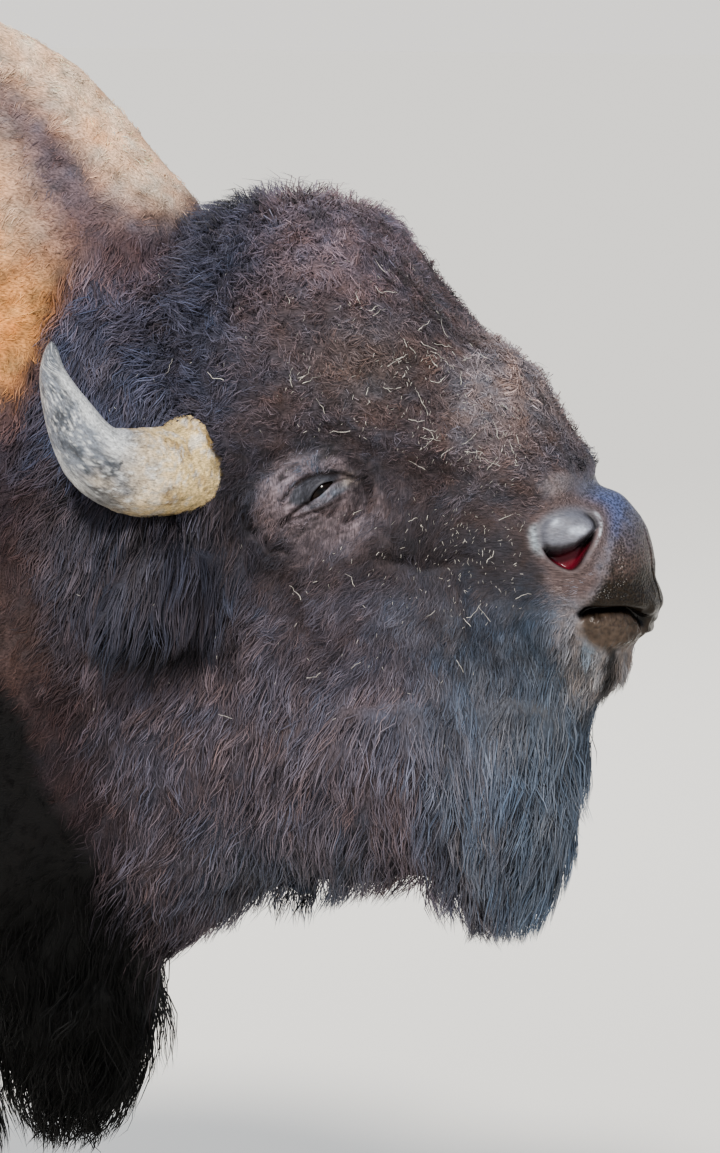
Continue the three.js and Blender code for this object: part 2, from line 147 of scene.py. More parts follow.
# Colours of the coat and the bare skin; some are painted shade in the gape, pits and folds, and
# some painted highlights and sky reflections on the wet nose.
TONES = {
    "tan": "#d59960", "cream": "#ffdcbd", "umber": "#3d3236", "band": "#6a5a61",
    "flank": "#5e4536", "belly": "#35261f", "leg": "#2a201e", "black": "#020202",
    "crown": "#675c61", "crown_top": "#83737a", "brow": "#9f9191", "poll": "#52515f",
    "russet": "#75665f", "cheek": "#3a3437", "mane": "#635c64", "beard": "#58606c",
    "ear": "#46444d", "rust": "#57443e", "chin": "#969293", "bridge": "#7e767b",
    "brush": "#14100f", "lid": "#7d7176", "lid_top": "#5e6775", "lid_dark": "#343940",
    "lid_rim": "#666b76", "bag": "#554c4f", "dark_and_crease_shade": "#1a1110", "corner": "#8a8078",
    "pad": "#4e5676", "pad_top": "#50505c", "pad_mid": "#453935", "pad_low": "#1d150c",
    "lip": "#4b3f36", "wing_highlight": "#a4a9b4", "nostril": "#6b202c", "pit": "#0d0809", "rim": "#8f979d",
    "wet_highlight": "#c9ced6", "wing": "#5d5e66", "under": "#5a4d4c", "snout": "#6f696b",
    "gape_shade": "#050303", "straw": "#d6d2c8"}
TONE = {name: np.array(linear(value)) for name, value in TONES.items()}
EYE_TONES = {"iris": "#160b05", "white": "#6b5648", "pupil": "#050303"}
HOOF_TONES = {"clean": "#1b1715", "dust": "#4b423a"}
FLOOR_TONE = "#e9e4da"


def ramp(x, low, high):
    """Rise smoothly from 0 at low to 1 at high."""
    t = np.clip((x - low) / (high - low), 0, 1)
    return t * t * (3 - 2 * t)


def unit(v):
    """Scale rows to length one."""
    return v / np.maximum(np.linalg.norm(v, axis=-1, keepdims=True), 1e-9)


def mix(a, b, t):
    """Blend rows a towards b by t."""
    return a + (b - a) * t[:, None]


def lay(colour, marks):
    """Blend marks into rows of colours: each is a tone's name and how strongly it shows."""
    for name, share in marks:
        colour = mix(colour, TONE[name], share)
    return colour


def ripple(co, size, seed):
    """Smooth noise of about -1 to 1 whose swells follow one another every size metres."""
    rng = np.random.default_rng(seed)
    table = rng.uniform(-1, 1, 4096)
    turn = np.linalg.qr(rng.normal(size=(3, 3)))[0]
    total = np.zeros(len(co))
    for cell, share in ((0.5, 1.6), (0.23, 0.8)):
        place = co @ turn / (size * cell) + rng.uniform(0, 100, 3)
        base = np.floor(place).astype(int)
        part = place - base
        part = part * part * (3 - 2 * part)
        for corner in np.ndindex(2, 2, 2):
            weight = np.where(corner, part, 1 - part).prod(axis=1)
            key = (base + corner) @ (7919, 104729, 1299709)
            total += share * weight * table[key % 4096]
    return total


def swirl(co, size, seed):
    """Three ripples as a vector."""
    return np.stack([ripple(co, size, seed + k) for k in range(3)], axis=1)


def line_distance(points, path):
    """Distance in a plane from each point to an open path."""
    best = np.full(len(points), np.inf)
    for start, end in zip(path, path[1:]):
        a, run = np.array(start, float), np.subtract(end, start).astype(float)
        t = np.clip((points - a) @ run / (run @ run), 0, 1)
        best = np.minimum(best, np.linalg.norm(points - a - t[:, None] * run, axis=1))
    return best


def inside_depth(points, outline):
    """Distance in a plane to a closed outline, above zero inside it."""
    closed = list(outline) + [outline[0]]
    odd = np.zeros(len(points), bool)
    for (ax, ay), (bx, by) in zip(closed, closed[1:]):
        crossing = (ay > points[:, 1]) != (by > points[:, 1])
        odd ^= crossing & (points[:, 0] < ax + (points[:, 1] - ay) * (bx - ax) / (by - ay + 1e-9))
    distance = line_distance(points, closed)
    return np.where(odd, distance, -distance)


def groove(distance, width):
    """A rounded furrow of depth one and the given width around distance zero."""
    return np.exp(-(distance / (width / 2)) ** 2)


def blob(across, up, centre, reach, power=2):
    """A soft oval patch of height one around a centre in a plane."""
    return np.exp(-((across - centre[0]) / reach[0]) ** power
                  - ((up - centre[1]) / reach[1]) ** power)


class Surface:
    """A triangle mesh as arrays, with what the hide and the coat read from it."""

    def __init__(self, mesh):
        mesh.calc_loop_triangles()
        self.co = np.empty(len(mesh.vertices) * 3)
        mesh.vertices.foreach_get("co", self.co)
        self.co = self.co.reshape(-1, 3)
        self.tris = np.empty(len(mesh.loop_triangles) * 3, int)
        mesh.loop_triangles.foreach_get("vertices", self.tris)
        self.tris = self.tris.reshape(-1, 3)
        self.edges = np.empty(len(mesh.edges) * 2, int)
        mesh.edges.foreach_get("vertices", self.edges)
        self.edges = self.edges.reshape(-1, 2)

    def face_vectors(self):
        """The area-weighted normal of each triangle, twice its area long."""
        a, b, c = (self.co[self.tris[:, k]] for k in range(3))
        return np.cross(b - a, c - a)

    def normals(self):
        """Smooth vertex normals."""
        faces = self.face_vectors()
        total = np.zeros_like(self.co)
        for k in range(3):
            for axis in range(3):
                total[:, axis] += np.bincount(self.tris[:, k], faces[:, axis], len(self.co))
        return unit(total)

    def relax(self, values, factor, steps):
        """Move each row towards the mean of its neighbours."""
        a, b = self.edges.T
        count = np.bincount(a, minlength=len(self.co)) + np.bincount(b, minlength=len(self.co))
        for _ in range(steps):
            mean = np.empty_like(values)
            for k in range(values.shape[1]):
                total = np.bincount(a, values[b, k], len(values))
                mean[:, k] = total + np.bincount(b, values[a, k], len(values))
            values = values + (mean / np.maximum(count, 1)[:, None] - values) * factor
        return values


# What the hide leaves for the coat, such as its surface and its zones.
HIDE = {}


def node_mesh(name):
    """A merged copy of a node's mesh."""
    part = bmesh.new()
    part.from_mesh(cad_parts[name].data)
    bmesh.ops.remove_doubles(part, verts=part.verts, dist=1e-5)
    part.normal_update()
    return part


def points_of(bm):
    """The places of a bmesh's vertices."""
    return np.array([v.co for v in bm.verts])


def smooth(bm, verts, times):
    """Draw vertices towards their neighbours."""
    for _ in range(times):
        bmesh.ops.smooth_vert(bm, verts=verts, factor=0.5, use_axis_x=True, use_axis_y=True,
                              use_axis_z=True)


def to_mesh(name, bm):
    """Turn a bmesh into a mesh."""
    mesh = bpy.data.meshes.new(name)
    bm.to_mesh(mesh)
    bm.free()
    return mesh


def finish_piece(name, mesh, material, slot, *nodes):
    """Link a piece with its material and tie it to the animal's one body."""
    mesh.polygons.foreach_set("use_smooth", [True] * len(mesh.polygons))
    mesh.materials.append(material)
    piece = bpy.data.objects.new(name, mesh)
    bpy.context.scene.collection.objects.link(piece)
    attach(piece, "root")
    if nodes:
        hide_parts(*nodes)
    return piece


def evaluated(mesh, kind, **settings):
    """The mesh that a modifier makes of another mesh."""
    holder = bpy.data.objects.new("holder", mesh)
    bpy.context.scene.collection.objects.link(holder)
    modifier = holder.modifiers.new("step", kind)
    for key, value in settings.items():
        setattr(modifier, key, value)
    depsgraph = bpy.context.evaluated_depsgraph_get()
    result = bpy.data.meshes.new_from_object(holder.evaluated_get(depsgraph))
    bpy.data.objects.remove(holder)
    return result


# The flesh reaches into the horns up to here on each side, in metres, and its parts are swollen
# this much so that they overlap.
HORN_CUT = 0.15
OVERLAP = 1.2 * MM
# Balls that fill the flesh round each nostril: forward, outward and up from the eyes' height in the
# middle plane, then the radius, in millimetres.
NOSTRIL_PADS = ((250, 52, -70, 25), (268, 66, -66, 22))


def flesh_block(voxel):
    """Close the flesh nodes into one skin over the whole animal, as yet at the tips of the coat."""
    whole = bmesh.new()
    fillings = [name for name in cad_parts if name.startswith(("eye_", "horn_"))]
    for name in FLESH + fillings:
        part = node_mesh(name)
        if name.startswith("horn_"):
            side = SIDES[name.split("_")[1]]
            cut = bmesh.ops.bisect_plane(
                part, geom=part.verts[:] + part.edges[:] + part.faces[:],
                plane_co=(0, side * HORN_CUT, 0), plane_no=(0, side, 0), clear_outer=True)
            rim = [e for e in cut["geom_cut"] if isinstance(e, bmesh.types.BMEdge)]
            bmesh.ops.contextual_create(part, geom=rim)
        for vert in part.verts:
            vert.co += vert.normal * OVERLAP
        whole.from_mesh(to_mesh(name, part))
    for x, y, z, radius in NOSTRIL_PADS:
        for side in SIDES.values():
            centre = EYE + Vector((x, 0, z)) * MM
            at = Matrix.Translation((centre.x, side * y * MM, centre.z))
            bmesh.ops.create_icosphere(whole, subdivisions=3, radius=radius * MM, matrix=at)
    shell = bmesh.new()
    shell.from_mesh(evaluated(to_mesh("block", whole), "REMESH", mode="VOXEL", voxel_size=voxel))
    return largest_island(shell)


def largest_island(shell):
    """Delete all but the largest of the closed shells in a bmesh."""
    islands = []
    seen = set()
    for start in shell.verts:
        if start in seen:
            continue
        stack, island = [start], []
        seen.add(start)
        while stack:
            vert = stack.pop()
            island.append(vert)
            for edge in vert.link_edges:
                other = edge.other_vert(vert)
                if other not in seen:
                    seen.add(other)
                    stack.append(other)
        islands.append(island)
    islands.sort(key=len)
    for island in islands[:-1]:
        bmesh.ops.delete(shell, geom=island, context="VERTS")
    return shell


def zone_shares(co):
    """How much each point belongs to each zone, from the node nearest to it."""
    points, polygons, owner = [], [], []
    for index, spec in enumerate(ZONES.values()):
        for node in spec[0]:
            part = node_mesh(node)
            base = len(points)
            points += [v.co.copy() for v in part.verts]
            polygons += [[base + v.index for v in f.verts] for f in part.faces]
            owner += [index] * len(part.faces)
            part.free()
    tree = BVHTree.FromPolygons(points, polygons)
    HIDE["outline"] = tree
    shares = np.zeros((len(co), len(ZONES)))
    for row, point in enumerate(co):
        shares[row, owner[tree.find_nearest(point)[2]]] = 1
    return shares


def share_of(shares, names):
    """How much each point belongs to the named zones together."""
    return shares[:, [ZONE[name] for name in names]].sum(axis=1)


def hand_over(shares, giver, taker, part):
    """Move part of one zone's share to another zone."""
    moved = shares[:, ZONE[giver]] * part
    shares[:, ZONE[taker]] += moved
    shares[:, ZONE[giver]] -= moved


# In a few steps the surface sinks to the depth of the coat, then settles, then its borders are
# rounded.
SINK_STEPS = 8
SETTLE_STEPS = 2
BORDER_STEPS = 22
# How far, in metres, one settling step may move a point in or out, and how much of its gap it
# closes.
SETTLE_IN = 10 * MM
SETTLE_OUT = 14 * MM
SETTLE_PART = 0.8


def border_share(co, shares):
    """How far each point lies on a border between two broad parts of the body."""
    small = share_of(shares, ("ear", "sheath", "tail", "brush"))
    mixed = ramp(1 - shares.max(axis=1), 0.05, 0.3) * (1 - ramp(small, 0.02, 0.2))
    nose = ramp(co[:, 0], 1.16, 1.20) * ramp(co[:, 2], 1.04, 1.06)
    hump = ramp(co[:, 2], 1.30, 1.40) * (1 - ramp(co[:, 0], 0.80, 0.86))
    return mixed * (1 - nose) * (1 - hump) * ramp(co[:, 2], 0.70, 0.78)


def settle(co, depth):
    """How far out each point of the hide moves to lie at its depth inside the outline."""
    gap = np.array([HIDE["outline"].find_nearest(point)[3] for point in co])
    return np.clip(gap - depth, -SETTLE_IN, SETTLE_OUT) * SETTLE_PART


def split_zones(co, shares):
    """Give the hump's front to the cape, and part the rear and the shanks from what they adjoin."""
    x, z = co[:, 0], co[:, 2]
    above = z - np.interp(x, TAN_EDGE_X, TAN_EDGE_Z) + 0.01 * ripple(co, 0.12, 6)
    hand_over(shares, "neck", "cape", ramp(above, -0.02, 0.03))
    behind = ramp(x + 0.006 * ripple(co, 0.05, 9), 0.796, 0.812) * (1 - ramp(x, 0.87, 0.91))
    for name in ("neck", "cape"):
        hand_over(shares, name, "crown", behind * ramp(z, 1.44, 1.48))
    nose_tuft = np.exp(-((x - 1.252) / 0.026) ** 2 - ((z - 1.268) / 0.022) ** 2
                       - (co[:, 1] / 0.030) ** 4)
    hand_over(shares, "muzzle", "crown", nose_tuft)
    edge = 0.05 + 0.10 * ramp(z, 0.9, 1.6) + 0.03 * ripple(co, 0.25, 5)
    hand_over(shares, "cape", "rear", 1 - ramp(x, edge - 0.10, edge + 0.06))
    for leg, low, high in (("foreleg", 0.34, 0.50), ("hindleg", 0.30, 0.50)):
        hand_over(shares, leg, "cannon", 1 - ramp(z, low, high))
    return shares


def cover_ears(co, shares):
    """Give the ears' long hair the skin above them too, up to the horns."""
    above = blob(co[:, 0], co[:, 2], *BODY_OVALS["ear_hair"], 4)
    above *= ramp(np.abs(co[:, 1]), 0.10, 0.14)
    for name in ("neck", "cheek", "crown"):
        hand_over(shares, name, "ear", above)
    return shares


def transfer(source_co, values, co):
    """Carry values from one set of points to another, from the three nearest."""
    tree = KDTree(len(source_co))
    for index, point in enumerate(source_co):
        tree.insert(point, index)
    tree.balance()
    result = np.empty((len(co), values.shape[1]))
    for row, point in enumerate(co):
        near = tree.find_n(point, 3)
        weights = np.array([1 / (item[2] + 1e-5) for item in near])
        result[row] = weights @ values[[item[1] for item in near]] / weights.sum()
    return result


def face_points(co):
    """Forward, outward and upward millimetres from the middle plane at the eyes' height."""
    face = (co - FACE_ORIGIN) / MM
    face[:, 1] = np.abs(face[:, 1])
    return face


# The eye is drawn on a plane turned up along the slit: along it, then across it, in millimetres.
SLIT_ANGLE = math.radians(33)
EYE_OPENING = ((-15, -3.2), (-9, 0.2), (-2, 3.4), (6.7, 5.6), (13.7, 5.2), (20, 1.6), (14, -1.6),
               (8, -3.0), (-3, -4.8))
SLIT_TAIL = ((-60, -8), (-41, -3.8), (-27, -2.7), (-12, -3))
SLIT_FRONT = ((18, 1.5), (26, -1), (36, -6))
LID_FOLD = ((-44, 12), (-26, 21.5), (-4, 21.5), (11, 17.5), (27, 6), (38, -8))
BAG_FOLD = ((-57, -6), (-33, -12), (-10, -17), (8, -19), (24, -17))
FRONT_FOLD = ((44, -14), (40, -28), (35, -38), (25, -44), (2, -42))
REAR_FOLD = ((-84, 48), (-92, 25), (-93, 3), (-89, -13), (-84, -26), (-70, -36))
BROW_FOLD = ((-84, 48), (-60, 62), (-25, 62), (10, 50), (40, 20), (46, 0))
# The folds round the eye: path, depth and width in the skin, then the width and the strength of
# the dark line of painted shade along the fold.
EYE_FOLDS = ((SLIT_TAIL, 5.5, 5, 4.5, 0.95), (SLIT_FRONT, 3, 5, 3, 0.7), (LID_FOLD, 4, 6, 5, 0.9),
             (BAG_FOLD, 3, 5, 4, 0.75), (FRONT_FOLD, 6, 9, 8, 0.55), (REAR_FOLD, 5, 12, 10, 0.6),
             (BROW_FOLD, 4, 16, 8, 0.35))
# The radius of the eyeball, how thick the lids lie on it, and how far apart the wrinkles run round
# the lids and the darker ones round the bags, in millimetres.
EYE_BALL = 21
LID_DEPTH = 3.2
LID_WRINKLES = 5.2
BAG_WRINKLES = 7

# The nose and mouth in the side view, forward and up from the eye in millimetres.
NOSTRIL = ((235, -39), (241, -31), (252, -26), (265, -23), (278, -25), (291, -31), (297, -42),
           (295, -56), (288, -72), (281, -84), (272, -90), (260, -86), (247, -78), (239, -66),
           (235, -52))
NOSTRIL_SLIT = ((239, -63), (248, -67), (260, -67), (275, -62), (289, -51), (297, -43))
NOSE_PAD = ((262, -4), (282, -18), (295, -20), (305, -34), (312, -56), (313, -78), (308, -99),
            (299, -112), (290, -126), (283, -137), (280, -146), (281, -164), (291, -178),
            (310, -182), (430, -186), (430, 50), (300, 40))
MOUTH = ((280, -142), (286, -138), (295, -137), (320, -137), (335, -138), (339, -148),
         (343, -160), (348, -168), (362, -172))
LIP_CREASE = ((334, -139), (343, -131), (349, -123), (355, -114))
HORN_ROOT = (-140, 24)
CHIN_GAP = ((309, -178), (312, -202), (303, -226), (297, -244))
CHEEK_FOLD = ((60, -76), (85, -80), (106, -86), (133, -82), (152, -74))

# Soft ovals of the face in the side view: the centre, then the reach, forward and up from the eye
# in millimetres. The first four lie on the eye's plane.
OVALS = {
    "under_eye": ((-5, -52), (62, 26)),
    "lid_top": ((-2, 34), (46, 15)),
    "bag": ((-30, -32), (40, 16)),
    "eye_corner": ((30, -6), (8, 7)),
    "forehead": ((60, 140), (65, 50)),
    "chin": ((310, -228), (14, 12)),
    "ear_shade": ((-205, -85), (105, 85)),
    "under_ear_shadow": ((-158, -162), (52, 27)),
    "bridge": ((252, 2), (20, 16)),
    "pad_sky_sheen": ((296, -34), (24, 34)),
    "wing_glint_rear": ((253, -38), (6, 5)),
    "wing_glint_front": ((276, -46), (11, 5.5)),
    "under_nostril": ((274, -98), (32, 26)),
    "brow": ((-10, 0), (110, 75))}
# The same on the body, in metres.
BODY_OVALS = {
    "rust": ((0.675, 1.095), (0.05, 0.075)),
    "ear_hair": ((0.800, 1.185), (0.095, 0.070))}


def eye_plane(face):
    """Millimetres along and across the eye's slit."""
    cos, sin = math.cos(SLIT_ANGLE), math.sin(SLIT_ANGLE)
    return np.stack((face[:, 0] * cos + face[:, 2] * sin, face[:, 2] * cos - face[:, 0] * sin),
                    axis=1)


def rounded(outline, times=2):
    """Cut the corners of a closed outline."""
    points = np.array(outline, float)
    for _ in range(times):
        ahead = np.roll(points, -1, axis=0)
        points = np.stack((points * 0.75 + ahead * 0.25, points * 0.25 + ahead * 0.75),
                          axis=1).reshape(-1, 2)
    return [tuple(point) for point in points]


def sculpt_eye(face, eye, near, opening):
    """The outward place of each point around the eye: ball, lids, bags and folds."""
    s, t = eye.T
    radius = np.hypot(s, t)
    height = face[:, 1].copy()
    height += 9 * near * np.exp(-(((s + 12) / 58) ** 2 + ((t - 8) / 40) ** 2) ** 2)
    ball_y = abs(EYE.y) / MM
    dome = ball_y + np.sqrt(np.maximum(0, (EYE_BALL + LID_DEPTH) ** 2 - radius ** 2))
    blend = np.clip((dome - height) / 8 + 0.5, 0, 1)
    lidded = height + (dome - height) * blend + 4 * blend * (1 - blend)
    height += (lidded - height) * near * (radius < 46) * (1 - ramp(radius, 26, 44))
    for path, deep, wide, _, _ in EYE_FOLDS:
        height -= near * deep * groove(line_distance(eye, path), wide)
    reach = np.hypot((s + 10) / 1.7, t - 2)
    wrinkle = np.sin(reach * 2 * math.pi / LID_WRINKLES + 1.8 * ripple(face, 22, 32))
    wrinkle = wrinkle * ripple(face, 30, 33)
    height += near * 0.55 * wrinkle * ramp(reach, 10, 16) * (1 - ramp(reach, 34, 46))
    ball = ball_y + np.sqrt(np.maximum(0, EYE_BALL ** 2 - np.minimum(radius, 20.5) ** 2))
    height += near * 1.5 * groove(opening + 3, 5) * (1 - ramp(s, 16, 24))
    return np.where(near & (opening > 0), np.minimum(height, ball - 5 * ramp(opening, -1, 2.5)),
                    height)


def over_slit(face):
    """How far above the nostril's slit each point lies, in millimetres."""
    path = np.array(NOSTRIL_SLIT, float)
    return face[:, 2] - np.interp(face[:, 0], path[:, 0], path[:, 1])


def sculpt_nostril(face, side):
    """The nostril's pit and the wing that fills its upper part, in millimetres, and their masks."""
    x, z = face[:, 0], face[:, 2]
    plane = face[:, [0, 2]]
    depth = inside_depth(plane, rounded(NOSTRIL))
    upper = ramp(over_slit(face), -1.5, 2.5)
    dome = np.sqrt(np.maximum(0, 1 - ((x - 267) / 33) ** 2 - ((z + 47) / 24) ** 2))
    inside = ramp(depth, -1.0, 8) * side
    edge = side * groove(depth - 1, 5) * upper * ramp(x, 232, 262)
    pit = inside * (24 * (1 - upper) - 5 * dome * upper) + 2.5 * edge * ramp(x, 272, 288)
    rim = side * 3.0 * groove(depth + 5, 9) * (1 - upper * (1 - ramp(x, 280, 292)))
    return rim - pit, np.where(side, depth, -99), upper, dome


def sculpt_face(surface):
    """Shape the lids, folds, nostrils and lips, and return the paint masks that go with them."""
    face = face_points(surface.co)
    x, z = face[:, 0], face[:, 2]
    plane = face[:, [0, 2]]
    normal = surface.normals()
    eye = eye_plane(face)
    near = (face[:, 1] > 95) & (np.abs(eye[:, 0]) < 130) & (np.abs(eye[:, 1]) < 110)
    opening = inside_depth(eye, rounded(EYE_OPENING))
    height = sculpt_eye(face, eye, near, opening)
    cheek_side = (x < 170) & (face[:, 1] > 60)
    height -= 7 * cheek_side * groove(line_distance(plane, CHEEK_FOLD), 12)
    side = (face[:, 1] > 30) & (x > 190)
    swell, depth, upper, dome = sculpt_nostril(face, side)
    shift = swell[:, None] * np.array((0.35, 0.87, 0.34))
    shift[:, 1] += height - face[:, 1]
    snout = (x > 262) & (z < -95) & (z > -195)
    sides = 1 - ramp(x, 328, 336) * (1 - ramp(face[:, 1], 14, 26))
    gape = snout * groove(line_distance(plane, MOUTH), 10) * sides
    gape = np.maximum(gape, snout * (1 - sides) * groove(z + 172, 9))
    crease = snout * groove(line_distance(plane, LIP_CREASE), 8) * ramp(face[:, 1], 22, 36)
    lower = snout * np.exp(-((z + 155) / 11) ** 2) * ramp(x, 284, 300) * (1 - ramp(x, 334, 342))
    upper_lip = snout * np.exp(-((z + 122) / 10) ** 2) * ramp(x, 285, 310)
    philtrum = (x > 300) * groove(face[:, 1], 5) * ramp(z, -140, -120) * (1 - ramp(z, -60, -40))
    creases = np.sin(z / 4.2 + 2 * ripple(face, 40, 35)) * (x > 285) * ramp(-z, 80, 100)
    wrinkles = 0.9 * ripple(face * (1, 1, 0.4), 7, 45) * snout * ramp(-z, 138, 146)
    lips = wrinkles + 3.0 * lower + 3.0 * upper_lip - 13 * gape - 6 * crease - 3 * philtrum
    lips += 0.7 * creases
    # The front of the upper lip hangs lower than the rest, and the chin stands back behind it.
    front = ramp(x, 326, 346)
    lobe = snout * front * ramp(-z, 105, 135) * (1 - ramp(-z, 158, 172))
    shift[:, 0] += 9 * lobe - 13 * ramp(x, 290, 345) * ramp(-z, 170, 184)
    shift[:, 2] -= 9 * lobe
    # The horn stands on a boss of thick skin.
    boss = np.exp(-(np.hypot(x - HORN_ROOT[0], z - HORN_ROOT[1]) / 74) ** 4) * (face[:, 1] > 60)
    shift[:, 1] += 30 * boss
    shift[:, 2] += 9 * bridge_zone(face)
    shift[:, 1] *= np.sign(surface.co[:, 1])
    surface.co = surface.co + (shift + lips[:, None] * normal) * MM
    return {"opening": np.where(near, opening, -99), "nostril": depth, "upper": upper, "dome": dome,
            "gape": gape, "crease": crease, "eye": eye, "near": near, "face": face}


# Rises and hollows of the body: forward, outward and up in metres, then reach and height.
BODY_FORMS = (
    (-0.925, 0.22, 1.335, 0.075, 0.024), (-1.215, 0.09, 1.275, 0.055, 0.016),
    (-0.76, 0.26, 1.25, 0.12, -0.022), (-0.83, 0.28, 0.97, 0.10, -0.024),
    (-1.07, 0.25, 1.09, 0.14, 0.018), (-1.21, 0.16, 1.02, 0.07, -0.012),
    (0.40, 0.27, 1.02, 0.12, 0.020), (0.10, 0.34, 1.00, 0.12, -0.016),
    (0.20, 0.27, 0.86, 0.07, 0.016), (0.26, 0.30, 1.35, 0.16, 0.012),
    (-0.95, 0.20, 0.84, 0.07, 0.012), (-0.62, 0.30, 0.86, 0.10, 0.010),
    (1.255, 0.0, 1.268, 0.024, 0.012), (1.304, 0.0, 1.236, 0.034, 0.012),
    (1.09, 0.0, 1.47, 0.075, -0.012), (1.17, 0.0, 1.41, 0.05, 0.008),
    (0.81, 0.03, 1.55, 0.06, 0.010), (0.79, 0.19, 1.205, 0.055, 0.028))
# Ribs follow one another at this distance, in metres, and stand out by this much.
RIB_GAP = 0.075
RIB_RISE = 0.0036


def sculpt_body(surface):
    """Raise the bones and muscles that show through the short coat, and lay the ribs."""
    normal = surface.normals()
    x, y, z = surface.co[:, 0], np.abs(surface.co[:, 1]), surface.co[:, 2]
    rise = np.zeros(len(x))
    for fx, fy, fz, reach, height in BODY_FORMS:
        gap = np.sqrt((x - fx) ** 2 + (y - fy) ** 2 + (z - fz) ** 2)
        rise += height * np.exp(-(gap / reach) ** 2)
    ribbed = ramp(x, -0.72, -0.58) * (1 - ramp(x, -0.10, 0.02))
    ribbed = ribbed * ramp(z, 0.80, 0.95) * (1 - ramp(z, 1.15, 1.32))
    rise += RIB_RISE * ribbed * np.sin((x + 0.12 * z) * 2 * math.pi / RIB_GAP) * ramp(y, 0.15, 0.25)
    surface.co = surface.co + normal * rise[:, None]


# Where the tan of the cape ends, as a line in the side view in metres.
TAN_EDGE_X = (-0.40, 0.0, 0.20, 0.40, 0.55, 0.641, 0.660, 0.676, 0.686, 0.698, 0.720, 0.773,
              0.798, 0.814, 0.84)
TAN_EDGE_Z = (0.92, 0.97, 1.03, 1.12, 1.23, 1.332, 1.352, 1.405, 1.455, 1.500, 1.522, 1.512,
              1.515, 1.53, 1.75)

# Where the black of the chest ends towards the throat, an edge partly of the coat's own black and
# partly of a painted cast shadow: forward at each height in metres.
BLACK_EDGE_X = (0.77, 0.747, 0.725, 0.701, 0.690, 0.670, 0.650, 0.60, 0.40, 0.0)
BLACK_EDGE_Z = (0.60, 0.751, 0.852, 0.919, 0.980, 1.022, 1.050, 1.08, 1.12, 1.16)

# The mauve band across the front of the hump, and the shade under the horn, in the side view.
HUMP_BAND = ((0.560, 1.712), (0.600, 1.688), (0.641, 1.648), (0.672, 1.604), (0.704, 1.557),
             (0.734, 1.526), (0.762, 1.506))
HORN_SHADE = ((-290, 34), (-272, 8), (-248, -10), (-220, -23), (-191, -33), (-160, -36),
              (-135, -32))


def body_tones(co, normal, wander, fine, broad):
    """Colours of cape, neck and flanks, and how far the wool is black, partly as painted shadow."""
    x, y, z = co.T
    rows = np.ones((len(co), 1))
    # The hump pales to cream at its top and front edge: partly sun-bleached wool, partly a painted
    # highlight.
    high = ramp(z + 0.03 * broad, 1.49, 1.72) * ramp(x + 0.04 * broad, 0.22, 0.60)
    light = mix(TONE["tan"] * rows, TONE["cream"], high * 0.95)
    light = mix(light, TONE["cream"],
                0.9 * ramp(x + 0.01 * wander, 0.69, 0.73) * ramp(z, 1.46, 1.54))
    wide = 0.090 + 0.035 * ramp(-z, -1.62, -1.52)
    band = groove(line_distance(np.stack((x, z), 1), HUMP_BAND) + 0.006 * wander, wide)
    light = mix(light, TONE["band"], 0.95 * band * ramp(np.abs(y), 0.02, 0.10))
    low = mix(TONE["belly"] * rows, TONE["umber"], ramp(x + 0.03 * broad, 0.40, 0.60))
    low = lay(low, (
        ("mane", 0.8 * ramp(x + 0.02 * wander, 0.69, 0.78)),
        ("rust", 0.85 * blob(x, z, *BODY_OVALS["rust"])),
        ("poll", ramp(x + 0.015 * wander, 0.62, 0.70) * ramp(z + 0.01 * wander, 1.24, 1.30))))
    # The chest's black ends in a sharp edge, partly the coat's own black, partly a painted cast
    # shadow.
    black_and_cast_shadow = ramp(np.interp(z, BLACK_EDGE_Z, BLACK_EDGE_X) - x + 0.008 * wander, -0.008, 0.018)
    black_and_cast_shadow = black_and_cast_shadow * (0.25 + 0.75 * ramp(x + 0.03 * broad, 0.40, 0.60))
    low = mix(low, TONE["black"], 0.96 * black_and_cast_shadow)
    edge = z - np.interp(x, TAN_EDGE_X, TAN_EDGE_Z)
    edge = edge + 0.015 * broad + 0.008 * fine
    soft = 1 + 2.2 * (1 - ramp(x, 0.40, 0.62))
    cape = mix(low, light, ramp(edge / soft, -0.04, 0.045))
    cape = mix(cape, TONE["band"], 0.75 * groove(edge, 0.08) * ramp(x, 0.5, 0.62))
    flank = mix(TONE["flank"] * rows, TONE["belly"],
                1 - ramp(z + 0.05 * broad + 0.01 * wander, 0.66, 1.12))
    flank = mix(flank, TONE["tan"], 0.16 * ramp(normal[:, 2], 0.2, 0.9))
    back = 1 - ramp(x + 0.07 * broad + 0.012 * fine - 0.25 * (z - 1.2), -0.30, 0.22)
    return mix(cape, flank, back), flank, black_and_cast_shadow


